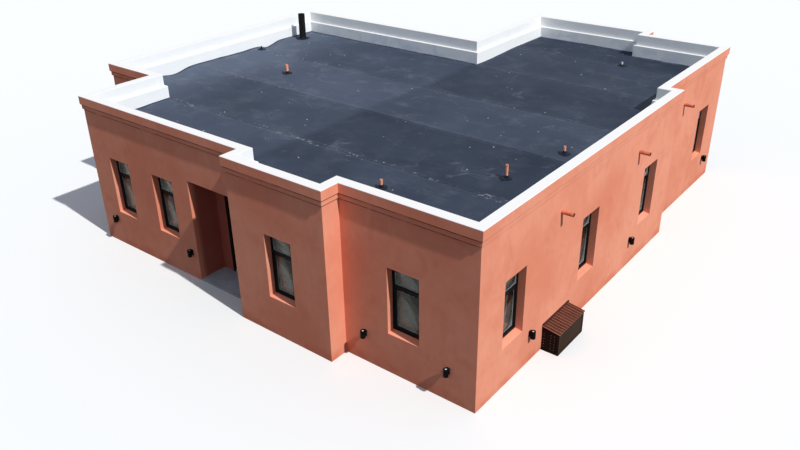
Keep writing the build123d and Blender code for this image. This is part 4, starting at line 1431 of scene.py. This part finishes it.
# %% [markdown]
# ## Pipes, flue and spouts
#
# All of them are open pipes with a small bead at the mouth, so one profile is turned for each. Most
# of the vents are the orange kind that runs under floors, one is white, and a cable duct is black.
# The spouts were painted with the walls, but not inside, where the bore is dark: partly bare dirty
# pipe and partly painted shade in the hollow. Their pipe is turned upright and then laid on its side.

# %% Vent pipes
PIPE_BORE, PIPE_BEAD = 0.88, 0.0022
REAR_PIPE_Y, DUCT_X = 4.0, -5.0

work = bmesh.new()
for start, finish in solids("vent_pipes"):
    middle = (start + finish) / 2
    radius = (finish.x - start.x) / 2
    kind = 1 if middle.y > REAR_PIPE_Y else 2 if middle.x < DUCT_X else 0
    profile = tube_profile(radius, radius * PIPE_BORE, start.z, finish.z, PIPE_BEAD)
    add_turned(work, profile, middle.to_2d(), sides=36, number=kind)
tubes = finish_work("vent_tubes", work, "vent_plastic", "white_plastic", "flue_black")
settle(tubes, replaced=["vent_pipes"])

# %% Flue
FLUE_WALL, FLUE_BEAD, FLUE_JOINTS = 0.006, 0.004, (0.30, 0.64)
JOINT_RIB = ((0.0, -0.010), (0.003, -0.006), (0.003, 0.006), (0.0, 0.010))

work = bmesh.new()
(start, finish), = solids("roof_flue")
radius = (finish.y - start.y) / 2
joints = [start.z + (finish.z - start.z) * share for share in FLUE_JOINTS]
outside = [(radius + rise, joint + step) for joint in joints for rise, step in JOINT_RIB]
profile = tube_profile(radius, radius - FLUE_WALL, start.z, finish.z, FLUE_BEAD)
add_turned(work, (*profile[:2], *outside, *profile[2:]), ((start + finish) / 2).to_2d(), sides=48)
settle(finish_work("flue_tube", work, "flue_black"), replaced=["roof_flue"])

# %% Spouts
SPOUT_WALL, SPOUT_BEAD, BORE_MARGIN = 0.005, 0.003, 0.004

work = bmesh.new()
for start, finish in solids("roof_spouts"):
    middle = (start + finish) / 2
    radius = (finish.z - start.z) / 2
    profile = tube_profile(radius, radius - SPOUT_WALL, 0, finish.x - start.x, SPOUT_BEAD)
    upright = add_turned(work, profile, (0, 0), sides=36)
    # Faces inside the bore take the dark finish: partly dirt, partly painted shade.
    for face in {face for vertex in upright for face in vertex.link_faces}:
        if max(vertex.co.to_2d().length for vertex in face.verts) < radius - BORE_MARGIN:
            face.material_index = 1
    laid = Matrix.Translation((start.x, middle.y, middle.z)) @ Matrix.Rotation(pi / 2, 4, "Y")
    bmesh.ops.transform(work, matrix=laid, verts=upright)
spouts = finish_work("painted_spouts", work, "spout_paint", "spout_bore_dirt_and_shade")
settle(spouts, replaced=["roof_spouts"])

# %% [markdown]
# ## Crumbs on the roof
#
# Small flakes of white paint and mortar lie about on the sheet. A recipe scatters points on the
# roof's upper faces and puts a flattened, turned flake on each.

# %% Recipe and crumbs
CRUMBS_TO_THE_SQUARE_METRE, LARGEST_CRUMB, FLATNESS = 0.55, 0.018, 0.35
LEAN = 0.2
tree, given, end = new_recipe("crumbs", {"Density": 1.0, "Largest": 0.02, "Seed": 4})
facing_up = parts_of(tree, tree.nodes.new("GeometryNodeInputNormal").outputs[0])["Z"]
upper = put(tree, "FunctionNodeCompare", {0: facing_up, 1: 0.9}, operation="GREATER_THAN").outputs[0]
spots = put(tree, "GeometryNodeDistributePointsOnFaces",
            {"Mesh": given["Geometry"], "Selection": upper, "Density": given["Density"],
             "Seed": given["Seed"]})
flake = put(tree, "GeometryNodeMeshIcoSphere", {"Radius": 1.0, "Subdivisions": 2}).outputs[0]
rough = put(tree, "ShaderNodeTexNoise", {"Scale": 1.4, "Detail": 1.0}).outputs[1]
push = put(tree, "ShaderNodeVectorMath", {0: rough, 1: (0.5, 0.5, 0.5)}, operation="SUBTRACT").outputs[0]
flake = put(tree, "GeometryNodeSetPosition", {"Geometry": flake, "Offset": push}).outputs[0]
random_turn = put(tree, "FunctionNodeRandomValue",
                  {0: (-LEAN, -LEAN, 0.0), 1: (LEAN, LEAN, 6.28), "Seed": 7},
                  data_type="FLOAT_VECTOR").outputs[0]
random_size = put(tree, "FunctionNodeRandomValue", {2: 0.2, 3: 1.0, "Seed": 9}, data_type="FLOAT")
size = times(tree, random_size.outputs[1], given["Largest"])
flat = times(tree, size, FLATNESS)
scale = put(tree, "ShaderNodeCombineXYZ", {"X": size, "Y": size, "Z": flat}).outputs[0]
scattered = put(tree, "GeometryNodeInstanceOnPoints",
                {"Points": spots.outputs[0], "Instance": flake, "Rotation": random_turn, "Scale": scale})
serve(tree, given, end, scattered.outputs[0])
CRUMBS = tree

crumbs = cook("roof_crumbs", CRUMBS, roof_sheets.data, "mortar_crumb", Density=CRUMBS_TO_THE_SQUARE_METRE,
              Largest=LARGEST_CRUMB)
settle(crumbs)

# %% [markdown]
# ## Windows
#
# The aluminium bars are drawn with a small radius on every edge, and a grey rubber seal runs round
# each pane on both faces. The bars are softened copies of the model's frames. The seals follow the
# panes: a recipe turns each pane's outline into a curve and runs a thin round cord along it.

# %% Frames
BAR_ROUNDING = 0.002
for way in ("front", "right", "back", "left"):
    node = f"{way}_window_frames"
    bars = softened(node, f"{way}_bars", BAR_ROUNDING, "black_aluminium")
    settle(bars, replaced=[node])

# %% Recipe and seals
SEAL_RADIUS, PANE_BITE, SEAL_SUNK = 0.0042, 0.010, 0.6
tree, given, end = new_recipe("seal", {"Radius": 0.004})
line = put(tree, "GeometryNodeMeshToCurve", {"Mesh": given["Geometry"]}).outputs[0]
ring = put(tree, "GeometryNodeCurvePrimitiveCircle", {"Resolution": 8, "Radius": given["Radius"]}).outputs[0]
cord = put(tree, "GeometryNodeCurveToMesh", {0: line, 1: ring, "Fill Caps": True}).outputs[0]
serve(tree, given, end, cord)
SEAL = tree


def thin_and_wide(start, finish):
    """The numbers of the axes across and along an upright pane or board."""
    thin = 0 if finish.x - start.x < finish.y - start.y else 1
    return thin, 1 - thin


PANES = solids("window_glass")
places, edges = [], []
for start, finish in PANES:
    thin, wide = thin_and_wide(start, finish)
    inset = PANE_BITE + SEAL_RADIUS * SEAL_SUNK
    near, far, foot, head = start[wide] + inset, finish[wide] - inset, start.z + inset, finish.z - inset
    for face in (start[thin], finish[thin]):
        first = len(places)
        for across, level in ((near, foot), (far, foot), (far, head), (near, head)):
            place = Vector((0, 0, level))
            place[thin], place[wide] = face, across
            places.append(place)
        edges += [(first, first + 1), (first + 1, first + 2), (first + 2, first + 3), (first + 3, first)]
seals = cook("window_seals", SEAL, points_mesh("pane_outlines", places, edges), "rubber_seal",
             Radius=SEAL_RADIUS)
settle(seals)

# %% [markdown]
# ## Sealed units
#
# Each pane is a sealed unit: two sheets of glass with a bright metal spacer round their edge, which
# shows as a fine line. Sheets and spacer bars are soft boxes, set out from the two corners of the
# model's pane. The two level bars of a spacer lie between its two upright ones.

# %% Sheets and spacers
GLASS_THICKNESS, GLASS_ROUNDING = 0.004, 0.0008
SPACER_INSET, SPACER_WIDTH, SPACER_GAP = 0.011, 0.011, 0.0003

sheets, spacers = bmesh.new(), bmesh.new()
for start, finish in PANES:
    thin, wide = thin_and_wide(start, finish)
    for first in (start[thin], finish[thin] - GLASS_THICKNESS):
        corner, opposite = start.copy(), finish.copy()
        corner[thin], opposite[thin] = first, first + GLASS_THICKNESS
        add_soft_box(sheets, corner, opposite, GLASS_ROUNDING)
    outer_low, outer_high = start.copy(), finish.copy()
    for axis in (wide, 2):
        outer_low[axis] += SPACER_INSET
        outer_high[axis] -= SPACER_INSET
    outer_low[thin] += GLASS_THICKNESS + SPACER_GAP
    outer_high[thin] -= GLASS_THICKNESS + SPACER_GAP
    for axis in (wide, 2):
        for side in (0, 1):
            corner, opposite = outer_low.copy(), outer_high.copy()
            if side:
                corner[axis] = opposite[axis] - SPACER_WIDTH
            else:
                opposite[axis] = corner[axis] + SPACER_WIDTH
            if axis == 2:
                corner[wide] += SPACER_WIDTH
                opposite[wide] -= SPACER_WIDTH
            add_soft_box(spacers, corner, opposite, GLASS_ROUNDING)
settle(finish_work("glass_sheets", sheets, "window_glass"), replaced=["window_glass"])
settle(finish_work("pane_spacers", spacers, "spacer_metal"))

# %% [markdown]
# ## Handles on the sashes
#
# Inside each window a small lever sits on the sash, half way up: a plate, a short neck and a grip
# that hangs down. The three boxes are listed once, as distances along the wall, inwards and up, and
# the same list serves all four sides of the house.

# %% Handles
SASH_BAR = 0.045
HANDLE_LEVEL, HANDLE_INSET, HANDLE_ROUNDING = 1.32, SASH_BAR * 1.5, 0.002
INWARDS = {"front": Vector((0, 1, 0)), "right": Vector((-1, 0, 0)), "back": Vector((0, -1, 0)),
           "left": Vector((1, 0, 0))}
HANDLE_PARTS = (
    ((-0.014, 0.0, -0.035), (0.014, 0.007, 0.035)),
    ((-0.009, 0.007, -0.009), (0.009, 0.038, 0.009)),
    ((-0.009, 0.028, -0.110), (0.009, 0.038, 0.012)),
)

work = bmesh.new()
for way, inwards in INWARDS.items():
    along = Vector((inwards.y, -inwards.x, 0))
    for start, finish in solids(f"{way}_window_frames"):
        half = (finish - start) / 2
        at = (start + finish) / 2 + inwards * abs(half.dot(inwards))
        at += along * (abs(half.dot(along)) - HANDLE_INSET)
        at.z = HANDLE_LEVEL
        for corner, opposite in HANDLE_PARTS:
            ends = [at + along * x + inwards * y + Vector((0, 0, z)) for x, y, z in (corner, opposite)]
            add_soft_box(work, *ends, HANDLE_ROUNDING)
settle(finish_work("sash_handles", work, "black_aluminium"))

# %% [markdown]
# ## Entrance door
#
# The door is a plain black leaf in a black frame, hung on three hinges, with an upright pull. Its
# edges are softened like the windows' bars. The hinges keep the model's own turned knuckles. The leaf
# and its fittings ride on the body that swings, and the frame stays with the house.

# %% Door
for node, name, rounding, finish, body in (
    ("door_frame", "door_bars", 0.002, "black_aluminium", "house"),
    ("door_leaf", "door_panel", 0.003, "door_paint", "door"),
    ("door_handle", "door_pull", 0.0015, "satin_steel", "door"),
):
    settle(softened(node, name, rounding, finish), body, [node])

# %% [markdown]
# ## Fittings of the doorway
#
# A rubber seal lies against the stop, and the windows' recipe makes it too. A flat black trim covers
# the joint between frame and render, and turns a little way into the reveal. A drip bar throws rain
# off the foot of the leaf, and round plates cover its lock.

# %% Door seal
DOOR_SEAL_RADIUS, DOOR_SEAL_INSET = 0.0023, 0.0035

leaf_low, leaf_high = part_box("door_leaf")
floor_level = high("floor_slab").z
seal_y, top_z = leaf_low.y - DOOR_SEAL_RADIUS, leaf_high.z - DOOR_SEAL_INSET
left_x, right_x = leaf_low.x + DOOR_SEAL_INSET, leaf_high.x - DOOR_SEAL_INSET
turns = ((left_x, floor_level), (left_x, top_z), (right_x, top_z), (right_x, floor_level))
stop_line = points_mesh("door_stop_line", [(x, seal_y, z) for x, z in turns], [(0, 1), (1, 2), (2, 3)])
door_seal = cook("door_seal", SEAL, stop_line, "rubber_seal", Radius=DOOR_SEAL_RADIUS)
settle(door_seal)

# %% Trim round the doorway
TRIM_WIDTH, TRIM_DEPTH, TRIM_RETURN = 0.075, 0.012, 0.004
TRIM_EDGE, RETURN_EDGE, TRIM_LIFT = 0.0015, 0.0005, 0.002

doorway_low, doorway_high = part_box("door_frame")
face, trim_foot = RECESS_BACK - TRIM_DEPTH, high("porch_floor").z + TRIM_LIFT
work = bmesh.new()
for edge, outwards in ((doorway_low.x, -1), (doorway_high.x, 1)):
    inner = edge - outwards * TRIM_RETURN
    add_soft_box(work, (inner, face, trim_foot),
                 (edge + outwards * TRIM_WIDTH, RECESS_BACK, doorway_high.z), TRIM_EDGE)
    add_soft_box(work, (inner, RECESS_BACK, floor_level), (edge, doorway_low.y, doorway_high.z), RETURN_EDGE)
add_soft_box(work, (doorway_low.x - TRIM_WIDTH, face, doorway_high.z - TRIM_RETURN),
             (doorway_high.x + TRIM_WIDTH, RECESS_BACK, doorway_high.z + TRIM_WIDTH), TRIM_EDGE)
settle(finish_work("doorway_trim", work, "black_aluminium"))

# %% Drip bar and lock plates
DRIP_INSET, DRIP_DEPTH, DRIP_HEIGHT, DRIP_LIFT, DRIP_EDGE = 0.012, 0.012, 0.020, 0.004, 0.002
PLATE_RADIUS, PLATE_RISE, LOCK_LEVELS = 0.026, 0.007, (0.72, 1.00)

work = bmesh.new()
drip_foot = leaf_low.z + DRIP_LIFT
add_soft_box(work, (leaf_low.x + DRIP_INSET, leaf_low.y - DRIP_DEPTH, drip_foot),
             (leaf_high.x - DRIP_INSET, leaf_low.y, drip_foot + DRIP_HEIGHT), DRIP_EDGE)
settle(finish_work("door_drip_bar", work, "black_aluminium"), "door")

lock_x = (low("door_handle").x + high("door_handle").x) / 2
disc = (
    (0, 0), (PLATE_RADIUS, 0), (PLATE_RADIUS, PLATE_RISE - 0.002), (PLATE_RADIUS - 0.002, PLATE_RISE),
    (0.010, PLATE_RISE), (0.009, PLATE_RISE - 0.0015), (0.0085, PLATE_RISE + 0.0015),
    (0, PLATE_RISE + 0.0015),
)
work = bmesh.new()
for face_y, level, side in ((leaf_low.y, LOCK_LEVELS[0], 1), (leaf_high.y, LOCK_LEVELS[1], -1)):
    upright = add_turned(work, disc, (0, 0), sides=40)
    laid = Matrix.Translation((lock_x, face_y, level)) @ Matrix.Rotation(side * pi / 2, 4, "X")
    bmesh.ops.transform(work, matrix=laid, verts=upright)
settle(finish_work("lock_plates", work, "satin_steel"), "door")

# %% [markdown]
# ## Wall lights
#
# Each light is a short black can on a small plate. A white lens sits a centimetre down in its top,
# and a fine groove shows where the cap screws on. The can is a turned profile, and the plate and arm
# are soft boxes, set out from the way in which the lens stands off the wall.

# %% Cans, plates and lenses
CAN_GROOVE, CAN_SLIM, CAP_HEIGHT = 0.0015, 0.90, 0.026
PLATE_DEPTH, PLATE_HALF_WIDTH, PLATE_HALF_HEIGHT = 0.014, 0.035, 0.065
ARM_REACH, PLATE_ROUNDING, SCREW_SHARE = 0.03, 0.003, 0.78
LENS_SUNK, LENS_RISE, LENS_DEPTH, LENS_STEPS, LENS_PLAY = 0.010, 0.003, 0.005, 5, 0.0005


def can_profile(radius, foot, top, mouth):
    """Radii and heights of a can that is open to a small recess in its top."""
    groove = top - CAP_HEIGHT
    return (
        (0, foot), (radius - 0.004, foot), (radius - 0.001, foot + 0.001), (radius, foot + 0.004),
        (radius, groove), (radius - CAN_GROOVE, groove + 0.001), (radius - CAN_GROOVE, groove + 0.003),
        (radius, groove + 0.004), (radius, top - 0.004), (radius - 0.001, top - 0.001),
        (radius - 0.004, top), (mouth + 0.003, top), (mouth + 0.001, top - 0.001), (mouth, top - 0.003),
        (mouth, top - LENS_SUNK - 0.004), (0, top - LENS_SUNK - 0.004),
    )


work, lens_work = bmesh.new(), bmesh.new()
lenses = solids("light_lenses")
screw_places, screw_directions = [], []
for start, finish in solids("wall_lights"):
    middle = (start + finish) / 2
    lens_low, lens_high = min(lenses, key=lambda pair: ((pair[0] + pair[1]) / 2 - middle).length)
    axis = (lens_low + lens_high) / 2
    outward = Vector((axis.x - middle.x, axis.y - middle.y, 0))
    outward = Vector((round(outward.normalized().x), round(outward.normalized().y), 0))
    along_wall = Vector((-outward.y, outward.x, 0))
    half = (finish - start) / 2
    wall_point = middle - outward * abs(half.dot(outward))
    radius, mouth = abs(half.dot(along_wall)) * CAN_SLIM, (lens_high.x - lens_low.x) / 2
    add_turned(work, can_profile(radius, start.z, finish.z, mouth), axis.to_2d(), sides=40)
    for share, reach in ((1, PLATE_DEPTH), (0.5, PLATE_DEPTH + ARM_REACH)):
        spread = along_wall * PLATE_HALF_WIDTH * share + Vector((0, 0, PLATE_HALF_HEIGHT * share))
        add_soft_box(work, wall_point - spread, wall_point + spread + outward * reach, PLATE_ROUNDING)
    lens_top = finish.z - LENS_SUNK
    dome = [(0, lens_top - LENS_DEPTH), (mouth - LENS_PLAY, lens_top - LENS_DEPTH)]
    for k in range(LENS_STEPS):
        turn = pi / 2 * k / LENS_STEPS
        dome.append((mouth * cos(turn) - LENS_PLAY, lens_top + LENS_RISE * sin(turn)))
    add_turned(lens_work, dome + [(0, lens_top + LENS_RISE)], axis.to_2d(), sides=32)
    for side in (-1, 1):
        up = Vector((0, 0, side * PLATE_HALF_HEIGHT * SCREW_SHARE))
        screw_places.append(wall_point + outward * PLATE_DEPTH + up)
        screw_directions.append(outward)
settle(finish_work("light_cans", work, "light_black"), replaced=["wall_lights"])
settle(finish_work("light_domes", lens_work, "light_lens"), replaced=["light_lenses"])

# %% [markdown]
# ## Slatted cover
#
# A low timber box stands against the right wall. Thirteen slats lie across its top and fall away from
# the wall to shed rain. A recipe draws one slat as a rounded rectangle run along a line, and lays out
# a tilted row a little unevenly. The frame and the boards under it only need their edges softened.

# %% Recipe for a row of slats
tree, given, end = new_recipe(
    "row_of_slats",
    {"Count": 13, "Pitch": 0.08, "Length": 0.34, "Width": 0.065, "Thickness": 0.018, "Rounding": 0.002,
     "Tilt": 0.0, "First X": 0.0, "First Y": 0.0, "First Z": 0.0, "Seed": 2},
)
outline = put(tree, "GeometryNodeCurvePrimitiveQuadrilateral",
              {"Width": given["Width"], "Height": given["Thickness"]}).outputs[0]
outline = put(tree, "GeometryNodeFilletCurve", {"Curve": outline, "Radius": given["Rounding"], "Count": 3,
                                                "Limit Radius": True}, mode="POLY").outputs[0]
tip = put(tree, "ShaderNodeCombineXYZ", {"X": given["Length"]}).outputs[0]
path = put(tree, "GeometryNodeCurvePrimitiveLine", {"End": tip}).outputs[0]
slat = put(tree, "GeometryNodeCurveToMesh", {0: path, 1: outline, "Fill Caps": True}).outputs[0]
first = put(tree, "ShaderNodeCombineXYZ",
            {"X": given["First X"], "Y": given["First Y"], "Z": given["First Z"]}).outputs[0]
pitch = put(tree, "ShaderNodeCombineXYZ", {"Y": given["Pitch"]}).outputs[0]
row = put(tree, "GeometryNodeMeshLine", {"Count": given["Count"], "Start Location": first, "Offset": pitch})
lean = put(tree, "FunctionNodeRandomValue", {0: (-0.01, -0.002, -0.004), 1: (0.01, 0.0, 0.004),
                                             "Seed": given["Seed"]}, data_type="FLOAT_VECTOR").outputs[0]
tilted = put(tree, "ShaderNodeCombineXYZ", {"Y": given["Tilt"]}).outputs[0]
tilted = put(tree, "ShaderNodeVectorMath", {0: tilted, 1: lean}, operation="ADD").outputs[0]
laid = put(tree, "GeometryNodeInstanceOnPoints",
           {"Points": row.outputs[0], "Instance": slat, "Rotation": tilted})
serve(tree, given, end, laid.outputs[0])
ROW_OF_SLATS = tree
print(ROW_OF_SLATS.name, "nodes", len(tree.nodes))

# %% Slats, frame and boards
SLAT_THICKNESS, SLAT_MARGIN, SLAT_SHRINKAGE, SLAT_SUNK = 0.018, 0.0025, 0.002, 0.0005
TIMBER_ROUNDING = 0.002
slat_low, slat_high = SLATS[0]
slat_size = slat_high - slat_low
fall = slat_size.z - SLAT_THICKNESS
tilt = atan2(fall, slat_size.x)
lid = cook(
    "cover_slats", ROW_OF_SLATS, bpy.data.meshes.new("no_points"), "cover_timber",
    Count=len(SLATS), Pitch=SLAT_PITCH, Length=hypot(slat_size.x, fall) - 2 * SLAT_MARGIN,
    Width=slat_size.y - SLAT_SHRINKAGE, Thickness=SLAT_THICKNESS, Tilt=tilt, First_X=slat_low.x + SLAT_MARGIN,
    First_Y=(slat_low.y + slat_high.y) / 2,
    First_Z=slat_high.z - SLAT_THICKNESS / 2 / cos(tilt) - SLAT_SUNK,
)
settle(lid, replaced=["cover_lid"])
for node, name in (("cover_frame", "cover_posts"), ("cover_boards", "cover_sides")):
    settle(softened(node, name, TIMBER_ROUNDING, "cover_boards"), replaced=[node])

# %% [markdown]
# ## Rails and battens of the cover
#
# A base rail runs along the foot of the dark boards and battens cover their ends at the corners. A
# rail along the wall, over the ends of the slats, keeps rain out of the joint. Each is one soft box,
# placed from the corners of the pieces that it covers.

# %% Base rail, corner battens and wall rail
TRIM_PROUD, RAIL_HEIGHT, BATTEN_WIDTH = 0.008, 0.045, 0.045
WALL_RAIL_HEIGHT, WALL_RAIL_DEPTH, WALL_RAIL_PAST = 0.034, 0.024, 0.018
board_low, board_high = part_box("cover_boards")
eaves = low("cover_lid").z - 0.001
near, far, outer = board_low.y, board_high.y, board_high.x
rail_foot, rail_top = board_low.z, board_low.z + RAIL_HEIGHT
trims = [
    ((board_low.x, near - TRIM_PROUD, rail_foot), (outer + TRIM_PROUD, near, rail_top)),
    ((outer, near, rail_foot), (outer + TRIM_PROUD, far, rail_top)),
    ((outer - BATTEN_WIDTH, near - TRIM_PROUD, rail_top), (outer + TRIM_PROUD, near, eaves)),
]
for start_y in (near, far - BATTEN_WIDTH):
    trims.append(((outer, start_y, rail_top), (outer + TRIM_PROUD, start_y + BATTEN_WIDTH, eaves)))
work = bmesh.new()
for corner, opposite in trims:
    add_soft_box(work, corner, opposite, TIMBER_ROUNDING)
add_soft_box(work, (slat_low.x, near - TRIM_PROUD, slat_high.z - WALL_RAIL_HEIGHT / 4),
             (slat_low.x + WALL_RAIL_DEPTH, SLATS[-1][1].y + WALL_RAIL_PAST, slat_high.z + WALL_RAIL_HEIGHT),
             TIMBER_ROUNDING, number=1)
settle(finish_work("cover_trim", work, "cover_boards", "cover_rail_stain"))

# %% [markdown]
# ## Screws and nails
#
# Slats, lights and hinges are screwed on, and the cover's boards are nailed. All the heads are one
# recipe: a low cone with a small six-sided drive in it, put on every point of a mesh and turned to
# the direction that the point carries.

# %% Recipe for heads
HEAD_TAPER, DRIVE_SHARE = 0.62, 0.30
tree, given, end = new_recipe("screw_heads", {"Radius": 0.0045, "Rise": 0.002})
head = put(tree, "GeometryNodeMeshCone",
           {"Vertices": 14, "Side Segments": 1, "Radius Top": times(tree, given["Radius"], HEAD_TAPER),
            "Radius Bottom": given["Radius"], "Depth": given["Rise"]}).outputs[0]
recess = put(tree, "GeometryNodeMeshCone",
             {"Vertices": 6, "Radius Top": times(tree, given["Radius"], DRIVE_SHARE),
              "Radius Bottom": 0.0002, "Depth": given["Rise"]}).outputs[0]
aim = put(tree, "GeometryNodeInputNamedAttribute", {"Name": "direction"}, data_type="FLOAT_VECTOR").outputs[0]
turned = put(tree, "FunctionNodeAlignRotationToVector", {"Vector": aim}, axis="Z").outputs[0]
both = put(tree, "GeometryNodeJoinGeometry")
tree.links.new(head, both.inputs[0])
tree.links.new(recess, both.inputs[0])
driven = put(tree, "GeometryNodeInstanceOnPoints",
             {"Points": put(tree, "GeometryNodeMeshToPoints", {0: given["Geometry"]}).outputs[0],
              "Instance": both.outputs[0], "Rotation": turned})
serve(tree, given, end, driven.outputs[0])
SCREW_HEADS = tree
print(SCREW_HEADS.name, "nodes", len(tree.nodes))

# %% Where slats are screwed and boards are nailed
SCREW_FROM_WALL, SCREW_FROM_END, HEAD_SUNK = 0.022, 0.045, 0.0008
NAIL_SHARES = (0.14, 0.56, 0.78)
LEAST_NAILED = 0.030

for start, finish in SLATS:
    for x in (start.x + SCREW_FROM_WALL, finish.x - SCREW_FROM_END):
        level = finish.z - fall * (x - start.x) / slat_size.x - HEAD_SUNK
        screw_places.append(Vector((x, (start.y + finish.y) / 2, level)))
        screw_directions.append(Vector((sin(tilt), 0, cos(tilt))))

board_middle = (board_low + board_high) / 2
nail_places, nail_directions = [], []
for start, finish in solids("cover_boards"):
    if finish.z > eaves or finish.z - start.z < LEAST_NAILED or start.z < board_low.z + RAIL_HEIGHT / 2:
        continue
    thin, wide = thin_and_wide(start, finish)
    if thin == 0:
        continue
    side = 1 if (start[thin] + finish[thin]) / 2 > board_middle[thin] else -1
    for share in NAIL_SHARES:
        spot = (start + finish) / 2
        spot[thin] = finish[thin] if side > 0 else start[thin]
        spot[wide] = start[wide] + share * (finish[wide] - start[wide])
        direction = Vector((0, 0, 0))
        direction[thin] = side
        nail_places.append(spot)
        nail_directions.append(direction)
print("screws", len(screw_places), "nails", len(nail_places))

# %% Hinge screws, and all the heads
HINGE_PLATE, HINGE_KNUCKLE = 0.003, 0.045
SCREW_FROM_EDGE, SCREW_FROM_TOP = 0.009, 0.012
hinge_places = {"house": [], "door": []}
for body, node in (("house", "frame_hinges"), ("door", "leaf_hinges")):
    for start, finish in solids(node):
        x = start.x + SCREW_FROM_EDGE if body == "house" else finish.x - SCREW_FROM_EDGE
        foot = start.z + SCREW_FROM_TOP
        head = min(finish.z, start.z + HINGE_KNUCKLE) - SCREW_FROM_TOP
        hinge_places[body] += [Vector((x, start.y + HINGE_PLATE, level)) for level in (foot, head)]


def drive(name, places, directions, body, radius, rise):
    """Screw or nail heads at the given places, each turned the way it was driven from."""
    marks = points_mesh(f"{name}_points", places, directions=directions)
    heads = cook(name, SCREW_HEADS, marks, "satin_steel", Radius=radius, Rise=rise)
    return settle(heads, body)


drive("screw_heads", screw_places, screw_directions, "house", radius=0.0045, rise=0.0016)
drive("nail_heads", nail_places, nail_directions, "house", radius=0.0060, rise=0.0016)
for body, places in hinge_places.items():
    directions = [Vector((0, 1, 0))] * len(places)
    drive(f"{body}_hinge_screws", places, directions, body, radius=0.0040, rise=0.0012)
